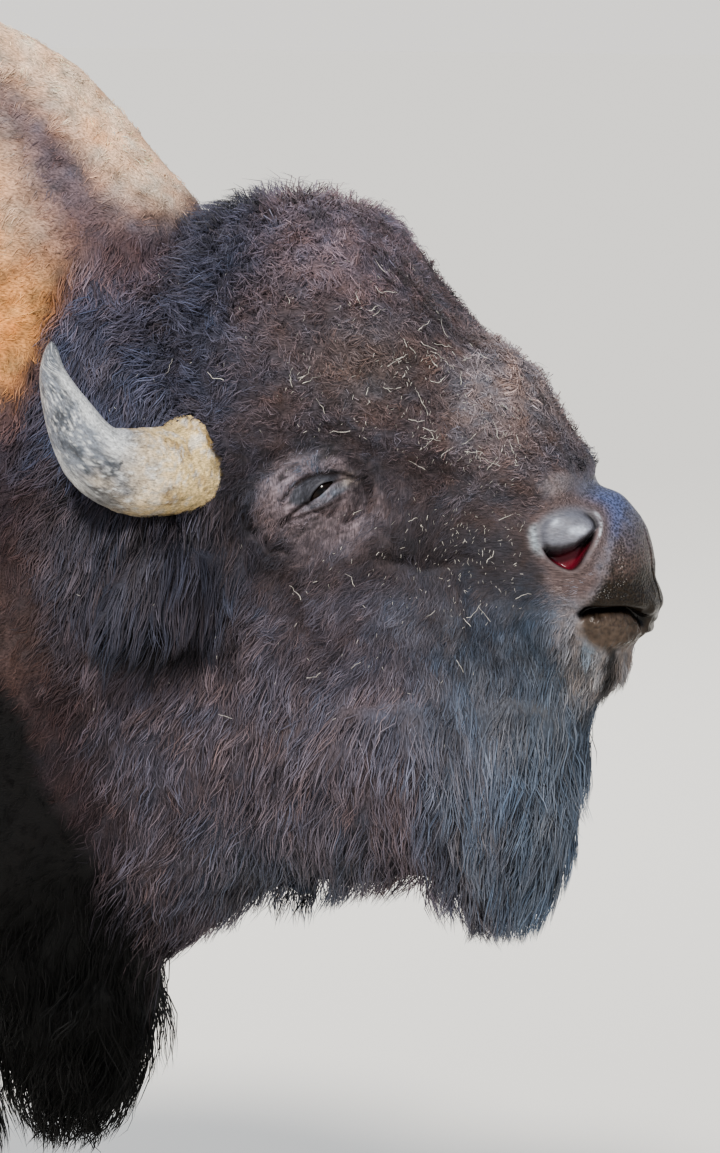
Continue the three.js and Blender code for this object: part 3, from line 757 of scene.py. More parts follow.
def head_tones(co, face, black_and_cast_shadow, wander, fine):
    """The colours of the crown, cheek, muzzle and jaw, of the throat's wool and of the chest."""
    x, _, z = co.T
    ahead, _, up = face.T
    rows = np.ones((len(co), 1))
    crown = mix(TONE["crown"] * rows, TONE["crown_top"], ramp(z + 0.02 * wander, 1.44, 1.54))
    crown = lay(crown, (
        ("russet", 0.6 * blob(ahead, up, *OVALS["forehead"])),
        ("brow", 0.9 * ramp(ahead + 10 * wander, 110, 170)
         * (0.25 + 0.75 * ramp(up + 8 * wander, 30, 105))),
        ("poll", 1 - ramp(x + 0.02 * wander, 0.86, 0.97))))
    # The lower face, throat and beard share one wool, brown grey behind and blue grey in front.
    wool = mix(TONE["mane"] * rows, TONE["beard"], ramp(ahead + 26 * wander + 8 * fine, 50, 235))
    wool = mix(wool, TONE["umber"], 0.6 * (1 - ramp(x + 0.03 * wander, 0.74, 0.90)))
    cheek = mix(TONE["cheek"] * rows, wool, ramp(-up + 14 * wander, 60, 165))
    muzzle = mix(TONE["cheek"] * rows, TONE["bridge"], ramp(ahead + 8 * wander, 226, 262))
    jaw = mix(wool, TONE["chin"], ramp(ahead + 10 * wander, 236, 276) * ramp(up, -245, -215))
    fringe = (1 - ramp(z + 0.02 * wander, 0.80, 0.90)) * (1 - ramp(x, 0.98, 1.06))
    wool = mix(wool, 0.8 * TONE["beard"], 0.7 * fringe)
    wool = mix(wool, TONE["black"], 0.95 * black_and_cast_shadow)
    chest = mix(TONE["black"] * rows, wool, 0.9 * (1 - black_and_cast_shadow) * ramp(z, 0.74, 0.86))
    return {"crown": crown, "cheek": cheek, "muzzle": muzzle, "jaw": jaw, "throat": wool,
            "beard": wool, "chest": chest}


def mark_face(colour, face, wander):
    """Lay the face's marks over its wool: chin, lids, and the painted shade by the ear and horn."""
    ahead, outward, up = face.T
    plane = face[:, [0, 2]]
    under_lip = ramp(ahead + 6 * wander, 268, 292) * ramp(up, -250, -218) * (up < -150)
    colour = mix(colour, TONE["chin"], 0.75 * under_lip)
    # Painted shade: a black parting between the tufts of the chin.
    gap = groove(line_distance(plane, CHIN_GAP), 12)
    gap = np.maximum(gap, blob(ahead, up, *OVALS["chin"]))
    colour = mix(colour, TONE["black"], 0.9 * gap * (ahead > 240))
    s, t = eye_plane(face).T
    sided = outward > 95
    colour = lay(colour, (
        ("lid", 0.8 * eye_zone(face)),
        ("lid_top", sided * 0.75 * blob(s, t, *OVALS["lid_top"])),
        ("lid", sided * 0.6 * blob(s, t, *OVALS["under_eye"]))))
    # The hair hides the ear, so the shade round it stays in the wool as a darker tone.
    outer = outward > 60
    colour = mix(colour, TONE["ear"], 0.85 * blob(ahead, up, *OVALS["ear_shade"], 4) * outer)
    # Painted shadow: near black below the ear, and a thin dark line under the horn.
    painted_shadow = blob(ahead, up, *OVALS["under_ear_shadow"]) * outer
    painted_shadow = np.maximum(painted_shadow, 0.8 * outer * groove(line_distance(plane, HORN_SHADE), 8))
    return mix(colour, TONE["black"], 0.93 * painted_shadow)


def coat_tone(co, normal, shares):
    """The colour of the coat at each point."""
    z = co[:, 2]
    rows = np.ones((len(co), 1))
    face = face_points(co)
    wander = ripple(co, 0.16, 11)
    fine = ripple(co, 0.035, 12)
    cape, flank, black_and_cast_shadow = body_tones(co, normal, wander, fine, ripple(co, 0.45, 15))
    by_zone = head_tones(co, face, black_and_cast_shadow, wander, fine)
    by_zone.update({
        "cape": cape, "rear": cape, "neck": cape, "thigh": flank, "sheath": TONE["belly"] * rows,
        "ear": TONE["ear"] * rows,
        "foreleg": mix(TONE["black"] * rows, TONE["leg"], ramp(z, 0.6, 0.9)),
        "hindleg": mix(TONE["leg"] * rows, TONE["belly"], ramp(z, 0.4, 0.8)),
        "tail": TONE["belly"] * rows, "brush": TONE["brush"] * rows, "cannon": TONE["leg"] * rows})
    colour = np.zeros((len(co), 3))
    for name, index in ZONE.items():
        colour += by_zone[name] * shares[:, index, None]
    colour = mark_face(colour, face, wander)
    crimp = ripple(co * (1, 1, 2.4), 0.020, 16) * shares[:, ZONE["cape"]]
    hue = (0.07 * ripple(co, 0.045, 13)
           + 0.06 * ripple(co, 0.014, 14))[:, None] * np.array((1.0, -0.1, -1.0))
    return colour * (1 + 0.06 * wander + 0.10 * fine + 0.26 * crimp)[:, None] * (1 + hue)


def eye_zone(face):
    """How far each point lies inside the short-haired skin around the eye."""
    s, t = eye_plane(face).T
    reach = np.hypot((s + 22) / 66, (t - 8) / 46) + 0.10 * ripple(face, 26, 39)
    return (face[:, 1] > 95) * (1 - ramp(reach, 0.65, 1.05))


def bridge_zone(face):
    """How far each point lies inside the pale, short-haired skin over the nose."""
    return blob(face[:, 0], face[:, 2], *OVALS["bridge"]) * ramp(face[:, 1], 16, 34)


def bare_shares(masks):
    """Where the face is bare: in part round the eye, and wholly on lids, nose pad and lips."""
    face = masks["face"]
    s, t = masks["eye"].T
    lids = masks["near"] * (1 - ramp(np.hypot((s - 2) / 42, (t + 1) / 19), 0.8, 1.1))
    pad_depth = inside_depth(face[:, [0, 2]], rounded(NOSE_PAD))
    masks["pad"] = ramp(pad_depth, -9, 6) * (face[:, 0] > 200)
    nostril = ramp(masks["nostril"], -12, -4)
    lips = ramp(masks["gape"], 0.2, 0.5)
    bridge = 0.5 * ramp(bridge_zone(face), 0.2, 0.7)
    thin = 0.15 * eye_zone(face)
    return np.clip(np.maximum.reduce((thin, lids, masks["pad"], nostril, lips, bridge)), 0, 1)


def paint_eye(colour, masks):
    """Lay the colours of the lids and bags, and the painted shade in the folds and wrinkles."""
    face = masks["face"]
    s, t = masks["eye"].T
    near = masks["near"]
    mottle = ripple(face, 14, 36)
    zone = eye_zone(face)
    colour = lay(colour, (
        ("lid", 0.6 * near * blob(s, t, *OVALS["under_eye"])),
        ("lid", zone * 0.6),
        ("dark_and_crease_shade", 0.5 * near * zone * ramp(-s - 0.4 * t, 38, 70))))
    lid = near * ramp(t, -4, 0) * (1 - ramp(np.hypot((s + 4) / 34, (t - 8) / 15), 0.8, 1.05))
    colour = lay(colour, (
        ("lid_dark", lid * 0.85),
        ("bag", near * blob(s, t, *OVALS["bag"]))))
    low_edge = np.interp(s, *np.array(BAG_FOLD, float).T) + 4
    band = ramp(s, -40, -12) * (1 - ramp(s, 26, 34))
    band = band * ramp(t, low_edge - 3, low_edge + 2) * (1 - ramp(t, -4, 0))
    colour = lay(colour, (
        ("lid_rim", near * band * (0.75 + 0.2 * mottle).clip(0, 1)),
        ("corner", near * blob(s, t, *OVALS["eye_corner"]) * 0.8)))
    # Painted shade: a dark line along each fold round the eye.
    for path, _, _, wide, strength in EYE_FOLDS:
        colour = mix(colour, TONE["dark_and_crease_shade"],
                     near * strength * groove(line_distance(masks["eye"], path), wide))
    reach = np.hypot((s + 14) / 1.6, t - 2) + 3 * mottle
    wrinkle = ramp(np.sin(reach * 2 * math.pi / BAG_WRINKLES), 0.2, 1.0)
    wrinkle = wrinkle * ramp(ripple(face, 26, 37), -0.6, 0.6)
    hairs = ramp(np.sin(s * 1.1 + 3 * mottle) * ripple(face, 6, 38), -0.2, 1.2)
    # Dark streaks of hair, and painted shade in the wrinkles round the bags.
    colour = lay(colour, (
        ("dark_and_crease_shade", near * zone * 0.35 * hairs * ramp(reach, 14, 24)),
        ("dark_and_crease_shade", near * zone * 0.4 * wrinkle * ramp(reach, 18, 26))))
    hairy = np.stack((s * 0.3, t, face[:, 1] * 0.3), axis=1)
    strands = 0.30 * ripple(hairy, 4.5, 42) + 0.16 * ripple(hairy, 10, 43)
    colour = colour * (1 + near * strands * (1 - 0.6 * ramp(masks["opening"], -14, -6)))[:, None]
    # The opening between the lids is painted near black as its shade.
    return mix(colour, TONE["pit"], ramp(masks["opening"], -0.8, 0.6))


def paint_pad(colour, masks, speck, wander):
    """Lay the colours of the nose pad, blue grey above and brown below, and of the olive lip."""
    face = masks["face"]
    x, z = face[:, 0], face[:, 2]
    # Painted reflection: the front of the pad takes the blue of the sky.
    painted_light = blob(x - 3 * wander, z, *OVALS["pad_sky_sheen"])
    tone = mix(TONE["pad_mid"] * np.ones((len(x), 1)), TONE["pad_top"],
               ramp(z + 6 * wander, -88, -14))
    tone = lay(tone, (
        ("pad", 0.95 * ramp(painted_light, 0.15, 0.75)),
        ("pad_low", ramp(-z + 7 * wander, 82, 106)),
        ("lip", ramp(-z + 4 * wander, 138, 150) * (1 - ramp(x, 334, 344)))))
    lower = ramp(-z, 132, 142)
    lip_mark = lower * (0.6 * ripple(face * (1, 1, 0.4), 4, 45)
                        + ripple(face * (0.6, 1, 1.6), 12, 46))
    # Painted shade: the lip darkens towards its front.
    front = 0.45 * ramp(x, 312, 340) * lower
    tone = tone * ((1 + 0.14 * speck + 0.22 * lip_mark) * (1 - front))[:, None]
    return mix(colour, tone, masks["pad"])


def paint_nostril(colour, masks, speck):
    """Lay the colours of the nostril: its rim, the red within, and the grey wing above."""
    face = masks["face"]
    x, z = face[:, 0], face[:, 2]
    depth, upper = masks["nostril"], masks["upper"]
    colour = mix(colour, TONE["under"], (x > 190) * groove(depth + 6, 17) * 0.85)
    rear = (x > 190) * groove(depth + 6, 11) * (1 - ramp(x, 238, 252))
    rear = rear * ramp(-z, 34, 44) * (1 - ramp(-z, 62, 80))
    colour = mix(colour, TONE["rim"], rear * (0.85 + 0.15 * speck).clip(0, 1))
    # Painted highlight: a thin bright line along the wet front rim of the nostril.
    wet_highlight = 0.8 * groove(depth + 3.6, 2.4) * ramp(x, 282, 292)
    wet_highlight = wet_highlight * ramp(-z, 24, 30) * (1 - ramp(-z, 50, 66))
    colour = mix(colour, TONE["wet_highlight"], wet_highlight * ramp(speck, -0.9, 0.3))
    red = ramp(depth, 0.5, 5) * (1 - upper) * ramp(-z - (x - 245) * -0.38, 70, 78)
    # Painted shade fills the pit below the wing with near black; the red inside shows lower down.
    colour = lay(colour, (
        ("pit", ramp(depth, -1.0, 2.5) * (1 - upper) * 0.95),
        ("nostril", red)))
    wing = upper * ramp(depth, -9, 3)
    colour = mix(colour, TONE["wing"], 0.9 * wing)
    # Painted highlights on the wing, brightest in two glints, and painted shade along its front
    # edge.
    painted_light = 0.85 * blob(x, z, *OVALS["wing_glint_rear"]) + 0.9 * blob(x, z, *OVALS["wing_glint_front"])
    painted_light = np.maximum(painted_light, 0.10 * ramp(masks["dome"], 0.3, 0.9))
    painted_light = painted_light * (1 + 0.25 * speck + 0.3 * ripple(face, 11, 47))
    colour = lay(colour, (
        ("wing_highlight", (wing * painted_light).clip(0, 1)),
        ("pit", groove(depth - 1, 5) * upper * ramp(x, 274, 290) * 0.9)))
    # Painted shade in the crease above the nostril's slit.
    crease = groove(over_slit(face) - 3, 7) * ramp(depth, 0, 6)
    return mix(colour, TONE["dark_and_crease_shade"], 0.75 * crease)


def paint_skin(colour, masks):
    """Lay the colours of the bare skin over the undercoat, and return them with how moist it is."""
    face = masks["face"]
    x, z = face[:, 0], face[:, 2]
    pad = masks["pad"]
    wander = ripple(face, 24, 31)
    speck = ripple(face, 5, 34)
    colour = paint_eye(colour, masks)
    # Painted shade in the fold across the cheek.
    dark_and_crease_shade = (x < 175) * (face[:, 1] > 60) * groove(line_distance(face[:, [0, 2]], CHEEK_FOLD), 9)
    colour = lay(colour, (
        ("dark_and_crease_shade", 0.75 * dark_and_crease_shade),
        ("snout", 0.6 * ramp(bridge_zone(face), 0.25, 0.8))))
    below = (x > 190) * blob(x, z, *OVALS["under_nostril"])
    colour = mix(colour, TONE["under"], ramp(below, 0.2, 0.7))
    colour = paint_pad(colour, masks, speck, wander)
    colour = paint_nostril(colour, masks, speck)
    # Painted shade: the gape of the mouth near black, and the lip crease darkened.
    colour = lay(colour, (
        ("gape_shade", ramp(masks["gape"], 0.25, 0.6)),
        ("pad_low", 0.8 * masks["crease"])))
    moist = (0.8 + 0.2 * ramp(-z, 132, 142)) * pad
    moist = np.maximum(moist, ramp(masks["nostril"], -6, 0) * (1 - 0.45 * masks["upper"]))
    moist = np.maximum(moist, 0.7 * masks["near"] * groove(masks["opening"] + 1.5, 4))
    return colour, np.clip(moist, 0, 1), pad * ramp(x, 255, 285) * ramp(z, -135, -118)


def store_colour(mesh, name, colour):
    """Keep one colour for each vertex."""
    layer = mesh.color_attributes.new(name, "FLOAT_COLOR", "POINT")
    layer.data.foreach_set("color", np.column_stack((colour, np.ones(len(colour)))).ravel())


def add(tree, kind, inputs=None, **settings):
    """Add a shader node with its settings, its constants and its links."""
    node = tree.nodes.new(kind)
    for key, value in settings.items():
        setattr(node, key, value)
    for key, value in (inputs or {}).items():
        if isinstance(value, bpy.types.NodeSocket):
            tree.links.new(value, node.inputs[key])
        else:
            node.inputs[key].default_value = value
    return node


def new_material(name):
    """An empty material, with its tree."""
    material = bpy.data.materials.new(name)
    material.use_nodes = True
    material.node_tree.nodes.clear()
    return material, material.node_tree


def wool_material():
    """Bison wool and guard hair: matt keratin fibres whose scales give a soft sheen."""
    material, tree = new_material("bison_wool")
    colour = add(tree, "ShaderNodeAttribute", attribute_name="coat")
    strand = add(tree, "ShaderNodeUVMap", uv_map="strand")
    # Single fibres are 0.05 mm; each lock is drawn with about five streaks so that they show.
    lie = add(tree, "ShaderNodeMapping", {"Vector": strand.outputs["UV"], "Scale": (5.0, 4.0, 1.0)})
    streak = add(tree, "ShaderNodeTexNoise",
                 {"Vector": lie.outputs["Vector"], "Scale": 1.0, "Detail": 2.0})
    level = add(tree, "ShaderNodeMapRange", {"Value": streak.outputs["Fac"], "From Min": 0.25,
                                             "From Max": 0.75, "To Min": 0.5, "To Max": 1.5})
    tinted = add(tree, "ShaderNodeVectorMath",
                 {0: colour.outputs["Color"], 1: level.outputs["Result"]},
                 operation="MULTIPLY")
    shader = add(tree, "ShaderNodeBsdfPrincipled", {
        "Base Color": tinted.outputs["Vector"], "Roughness": 0.55, "Specular IOR Level": 0.17,
        "Sheen Weight": 0.05, "Sheen Roughness": 0.45})
    add(tree, "ShaderNodeOutputMaterial", {"Surface": shader.outputs["BSDF"]})
    return material


def hide_material():
    """Hide under the coat: short fur as fine bump, and bare skin, moist on the nose and lips."""
    material, tree = new_material("bison_hide")
    colour = add(tree, "ShaderNodeAttribute", attribute_name="coat")
    moist = add(tree, "ShaderNodeAttribute", attribute_name="moist")
    pebbled = add(tree, "ShaderNodeAttribute", attribute_name="pebbled")
    fall = add(tree, "ShaderNodeAttribute", attribute_name="fall")
    where = add(tree, "ShaderNodeTexCoord")
    # Single hairs are too fine to show: they are drawn as streaks about 1.5 mm wide and 10 mm long,
    # level along the body and upright on the mane. Pebbles on the nose pad are about 2 mm across.
    level_lie = add(tree, "ShaderNodeMapping",
                    {"Vector": where.outputs["Object"], "Scale": (0.18, 1.0, 0.8)})
    drop_lie = add(tree, "ShaderNodeMapping",
                   {"Vector": where.outputs["Object"], "Scale": (1.0, 1.0, 0.16)})
    level_hair = add(tree, "ShaderNodeTexNoise",
                     {"Vector": level_lie.outputs["Vector"], "Scale": 620.0,
                      "Detail": 3.0})
    drop_hair = add(tree, "ShaderNodeTexNoise",
                    {"Vector": drop_lie.outputs["Vector"], "Scale": 620.0,
                     "Detail": 3.0})
    hair = add(tree, "ShaderNodeMix",
               {"Factor": fall.outputs["Fac"], "A": level_hair.outputs["Fac"],
                "B": drop_hair.outputs["Fac"]})
    pebble = add(tree, "ShaderNodeTexVoronoi", {"Vector": where.outputs["Object"], "Scale": 330.0})
    grain = add(tree, "ShaderNodeMix",
                {"Factor": pebbled.outputs["Fac"], "A": hair.outputs["Result"],
                 "B": pebble.outputs["Distance"]})
    # Wet skin that has neither hair nor pebbles is smooth.
    sleek = add(tree, "ShaderNodeMath", {0: moist.outputs["Fac"], 1: pebbled.outputs["Fac"]},
                operation="SUBTRACT", use_clamp=True)
    even = add(tree, "ShaderNodeMix",
               {"Factor": sleek.outputs["Value"], "A": grain.outputs["Result"],
                "B": 0.5})
    level = add(tree, "ShaderNodeMapRange", {"Value": even.outputs["Result"], "From Min": 0.3,
                                             "From Max": 0.7, "To Min": 0.5, "To Max": 1.5})
    tinted = add(tree, "ShaderNodeVectorMath",
                 {0: colour.outputs["Color"], 1: level.outputs["Result"]},
                 operation="MULTIPLY")
    bump = add(tree, "ShaderNodeBump",
               {"Height": even.outputs["Result"], "Strength": 0.6, "Distance": 0.003})
    rough = add(tree, "ShaderNodeMapRange",
                {"Value": moist.outputs["Fac"], "To Min": 0.75, "To Max": 0.22})
    shader = add(tree, "ShaderNodeBsdfPrincipled", {
        "Base Color": tinted.outputs["Vector"], "Roughness": rough.outputs["Result"],
        "Specular IOR Level": 0.3, "Normal": bump.outputs["Normal"]})
    add(tree, "ShaderNodeOutputMaterial", {"Surface": shader.outputs["BSDF"]})
    return material


def detail_level(co):
    """How finely each part of the hide is divided: 0 for the body, 4 at the slit of the eye."""
    face = face_points(co)
    ahead, outward, up = face.T
    level = np.zeros(len(co), int)
    level[(ahead > -70) & (up < 130) & (up > -230) & (co[:, 0] > 0.9)] = 1
    level[(ahead > 208) & (up > -196) & (up < 10)] = 3
    level[(ahead > 290) & (ahead < 335) & (np.abs(up + 142) < 14) & (outward > 30)] = 4
    s, t = eye_plane(face).T
    reach = np.where(outward > 85, np.hypot((s + 18) / 1.35, t - 4), np.inf)
    level[reach < 80] = np.maximum(level[reach < 80], 2)
    level[reach < 60] = 3
    level[reach < 32] = 4
    return level


def refine(shell):
    """Divide the hide more finely where the face has its details."""
    for level in range(1, 5):
        wanted = detail_level(points_of(shell)) >= level
        edges = [e for e in shell.edges if wanted[e.verts[0].index] and wanted[e.verts[1].index]]
        bmesh.ops.subdivide_edges(shell, edges=edges, cuts=1, use_grid_fill=True)
        bmesh.ops.triangulate(shell, faces=[f for f in shell.faces if len(f.verts) > 4])
        shell.verts.index_update()
        shell.verts.ensure_lookup_table()
        wanted = detail_level(points_of(shell)) >= level
        smooth(shell, [v for v in shell.verts if wanted[v.index]], 2)
    bmesh.ops.triangulate(shell, faces=shell.faces)


def sink(coarse, depth, border):
    """Draw the surface in from the tips of the coat to the hide's depth, and round its borders."""
    for _ in range(SINK_STEPS):
        coarse.co = coarse.co - coarse.normals() * depth[:, None] / SINK_STEPS
        coarse.co = coarse.relax(coarse.co, 0.25, 1)
    for _ in range(SETTLE_STEPS):
        coarse.co = coarse.co + coarse.normals() * settle(coarse.co, depth)[:, None]
        coarse.co = coarse.relax(coarse.co, 0.2, 1)
    coarse.co = mix(coarse.co, coarse.relax(coarse.co, 0.5, BORDER_STEPS), border)


class BISON_OT_hide(bpy.types.Operator):
    """Make the one continuous hide, inside the coat, with its lids, nostrils and lips."""

    bl_idname = "bison.hide"
    bl_label = "Hide"

    def execute(self, context):
        settings = context.scene.bison_settings
        for name, (tone, _) in CHOICES.items():
            TONE[tone] = np.array(getattr(settings, name))
        shell = flesh_block(settings.hide_voxel)
        coarse_mesh = bpy.data.meshes.new("coarse")
        shell.to_mesh(coarse_mesh)
        coarse = Surface(coarse_mesh)
        coarse.co = coarse.relax(coarse.co, 0.5, 2)
        shares = coarse.relax(zone_shares(coarse.co), 0.6, 14)
        border = border_share(coarse.co, shares)
        shares = split_zones(coarse.co, shares)
        sink(coarse, shares @ FORM[:, 0] * MM, border)
        shares = cover_ears(coarse.co, shares)
        shell.verts.ensure_lookup_table()
        for vert, point in zip(shell.verts, coarse.co):
            vert.co = point
        refine(shell)
        mesh = to_mesh("hide", shell)
        surface = Surface(mesh)
        shares = transfer(coarse.co, shares, surface.co)
        sculpt_body(surface)
        masks = sculpt_face(surface)
        mesh.vertices.foreach_set("co", surface.co.ravel())
        mesh.update()
        normal = surface.normals()
        colour = coat_tone(surface.co, normal, shares)
        bare = bare_shares(masks)
        # Between the locks the undercoat is painted darker, as the shade the locks cast on it.
        wool_shade = np.clip(0.24 + 0.26 * shares @ FORM[:, 4], 0, 0.52)
        wool_shade = wool_shade * (1 - 0.3 * shares[:, ZONE["cape"]])
        under = colour * (1 - (1 - bare) * wool_shade)[:, None]
        under, moist, pebbled = paint_skin(under, masks)
        store_colour(mesh, "coat", under)
        for attribute, values in (("moist", moist), ("pebbled", pebbled),
                                  ("fall", share_of(shares, FALLING))):
            layer = mesh.attributes.new(attribute, "FLOAT", "POINT")
            layer.data.foreach_set("value", values)
        HIDE.update(surface=surface, shares=shares, normal=normal, bare=bare)
        finish_piece("hide", mesh, hide_material(), "coat_rear", *FLESH)
        return {"FINISHED"}


def lie_of_coat(co, shares):
    """The direction in which the coat lies at each point."""
    side = np.sign(co[:, 1])
    ones = np.ones(len(co))
    lies = {name: np.array(LIES.get(name, DOWNWARD)) * ones[:, None] for name in ZONES}
    ahead = -1.0 + 1.25 * ramp(face_points(co)[:, 0], 20, 190)
    lies["cheek"] = np.stack((ahead, 0 * side, -0.9 * ones), axis=1)
    ahead = 0.35 - 0.9 * (1 - ramp(co[:, 0], 0.84, 0.98))
    lies["crown"] = np.stack((ahead, 0.5 * side, 0.25 * ones), axis=1)
    outward = (0.35 + 0.9 * ramp(co[:, 2], 1.18, 1.21)) * side
    lies["ear"] = np.stack((-0.22 * ones, outward, -1.0 * ones), axis=1)
    total = np.zeros((len(co), 3))
    for name, index in ZONE.items():
        total += unit(lies[name]) * shares[:, index, None]
    loose = shares @ FORM[:, 4]
    stray = swirl(co, 0.06, 41) * (0.42 * loose)[:, None]
    stray += swirl(co, 0.16, 51) * (0.25 * loose)[:, None]
    return total + stray


def unwrap(piece_co, piece_tris):
    """Unwrap part of the hide to the unit square and give each triangle's corners there."""
    mesh = bpy.data.meshes.new("pattern")
    mesh.from_pydata(piece_co, [], piece_tris.tolist())
    holder = bpy.data.objects.new("pattern", mesh)
    bpy.context.scene.collection.objects.link(holder)
    bpy.context.view_layer.objects.active = holder
    holder.select_set(True)
    bpy.ops.object.mode_set(mode="EDIT")
    bpy.ops.mesh.select_all(action="SELECT")
    bpy.ops.uv.smart_project(angle_limit=math.radians(66), island_margin=0.001,
                             scale_to_bounds=True)
    bpy.ops.object.mode_set(mode="OBJECT")
    uv = np.empty(len(mesh.loops) * 2)
    mesh.uv_layers.active.data.foreach_get("uv", uv)
    bpy.data.objects.remove(holder)
    return uv.reshape(-1, 3, 2)


def piece_faces(zones, side):
    """The triangles of the hide under one piece of the coat, with each one's share of the zones."""
    surface, shares = HIDE["surface"], HIDE["shares"]
    tri_shares = shares[surface.tris].mean(axis=1)
    groups = sorted({spec[0] for spec in PIECES.values()})
    totals = np.stack([share_of(tri_shares, group) for group in groups], axis=1)
    chosen = totals.argmax(axis=1) == groups.index(zones)
    if side:
        chosen &= np.sign(surface.co[surface.tris].mean(axis=1)[:, 1]) == side
    return chosen, tri_shares[chosen]


def pick_roots(zones, side, count, rng):
    """Scatter the roots of locks evenly over the hide under one piece of the coat."""
    surface, shares, bare = HIDE["surface"], HIDE["shares"], HIDE["bare"]
    chosen, tri_shares = piece_faces(zones, side)
    tris = surface.tris[chosen]
    used, local = np.unique(tris, return_inverse=True)
    pattern = unwrap(surface.co[used], local.reshape(-1, 3))
    spread = tri_shares @ FORM[:, 5]
    middle = surface.co[tris].mean(axis=1)
    spread *= 1 + 1.6 * ramp(middle[:, 0], 0.35, 0.62) * (middle[:, 2] > 1.0)
    keep = np.clip(1 - bare[tris].mean(axis=1), 0, 1) ** 2
    area = np.linalg.norm(surface.face_vectors()[chosen], axis=1)
    weight = np.cumsum(area * spread * keep)
    picks = (np.arange(count) + rng.random(count)) / count * weight[-1]
    at = np.minimum(np.searchsorted(weight, picks), len(tris) - 1)
    u, v = rng.random((2, count))
    over = u + v > 1
    u[over], v[over] = 1 - u[over], 1 - v[over]
    corner = np.stack((1 - u - v, u, v), axis=1)

    def at_root(values):
        return (values * corner.reshape(count, 3, *[1] * (values.ndim - 2))).sum(axis=1)

    return {"co": at_root(surface.co[tris[at]]), "normal": unit(at_root(HIDE["normal"][tris[at]])),
            "share": at_root(shares[tris[at]]), "bare": at_root(bare[tris[at]]),
            "home": at_root(pattern[at])}


def gather(root, paths, pull, every):
    """Draw the outer part of each lock towards the lock nearest to it among one in so many."""
    leaders = np.arange(0, len(root), every)
    tree = KDTree(len(leaders))
    for index in leaders:
        tree.insert(root[index], int(index))
    tree.balance()
    leader = np.array([tree.find(point)[1] for point in root])
    count = paths.shape[1] - 1
    for k in range(1, count + 1):
        share = (pull * (k / count) ** 1.3)[:, None]
        paths[:, k] += (paths[leader, k] - paths[:, k]) * share
    return leader


def trim(root, paths, length, beyond):
    """Shorten the locks whose tips pass the animal's outline by more than is allowed."""
    for _ in range(2):
        tips = paths[:, -1]
        past = np.empty(len(root))
        for row, tip in enumerate(tips):
            near, normal, _, _ = HIDE["outline"].find_nearest(tip)
            past[row] = (Vector(tip) - near).dot(normal)
        factor = np.clip(1 - np.maximum(0, past - beyond) / length, 0.3, 1)
        paths = root[:, None] + (paths - root[:, None]) * factor[:, None, None]
        length = length * factor
    return paths


def lock_paths(roots, tubes, rng, settings):
    """The bent middle line of each lock, with its width."""
    root, normal, share = roots["co"], roots["normal"], roots["share"]
    count = len(root)
    form = share @ FORM
    face = face_points(root)
    brow = blob(face[:, 0], face[:, 2], *OVALS["brow"]) * (root[:, 0] > 0.8)
    rooted = np.hypot(face[:, 0] - HORN_ROOT[0], face[:, 2] - HORN_ROOT[1])
    collar = np.exp(-(rooted / 76) ** 4) * (face[:, 1] > 60)
    poll = ramp(normal[:, 2], 0.0, 0.6) * share[:, ZONE["crown"]]
    poll = poll * (1 - ramp(root[:, 0], 0.93, 1.06))
    nape = 1 - ramp(root[:, 0], 0.83, 0.92)
    tall = (rng.random(count) < 0.13 + 0.30 * nape) * share[:, ZONE["crown"]] * (0.6 + 0.9 * poll)
    short = (1 - 0.6 * ramp(roots["bare"], 0.0, 0.6)) * (1 - 0.45 * brow) * (1 + 0.25 * poll + tall)
    length = form[:, 1] * MM * short * rng.uniform(0.65, 1.25, count) * settings.lock_length
    width = form[:, 2] * MM * np.sqrt(short) * rng.uniform(0.65, 1.3, count) * settings.lock_width
    lift = np.radians(form[:, 3]) * rng.uniform(0.5, 1.4, count) * (1 - 0.4 * brow)
    lift += 0.5 * collar + 0.5 * poll + 0.4 * tall
    curl = form[:, 4] * (1 - 0.5 * np.clip(tall, 0, 1))
    droop = 0.22 + 1.2 * share[:, ZONE["ear"]] + 0.5 * share[:, ZONE["throat"]]
    droop += 0.6 * share[:, ZONE["beard"]]
    lie = lie_of_coat(root, share) + rng.normal(size=(count, 3)) * (0.08 + 0.25 * curl)[:, None]
    lie = unit(lie - normal * (lie * normal).sum(axis=1, keepdims=True))
    across = np.cross(normal, lie)
    turn = rng.uniform(0, 2 * math.pi, count)
    turns = rng.uniform(0.6, 1.5, count)
    point = root - normal * ROOT_DEPTH
    points = [point]
    for k in range(1, tubes + 1):
        step = (k - 0.5) / tubes
        rise = (lift * (1 - 0.75 * step))[:, None]
        angle = (turn + 2 * math.pi * turns * step)[:, None]
        heading = lie * np.cos(rise) + normal * np.sin(rise)
        wave = across * np.cos(angle) + normal * np.sin(angle) * 0.45
        heading = unit(heading + wave * (curl * 1.1)[:, None])
        heading[:, 2] -= droop * step
        heading = unit(heading)
        point = point + heading * (length / tubes)[:, None]
        points.append(point)
    paths = np.stack(points, axis=1)
    gather(root, paths, form[:, 6] * 0.6 * rng.uniform(0.7, 1.2, count), BROAD_TUFT)
    leader = gather(root, paths, form[:, 6] * rng.uniform(0.7, 1.2, count), FINE_TUFT)
    beyond = form[:, 7] * MM * rng.uniform(0.2, 1.6, count)
    beyond += (30 * collar + 8 * poll + 16 * tall) * MM
    return trim(root, paths, length, beyond), width * (1 - 0.3 * np.clip(tall, 0, 1)), leader


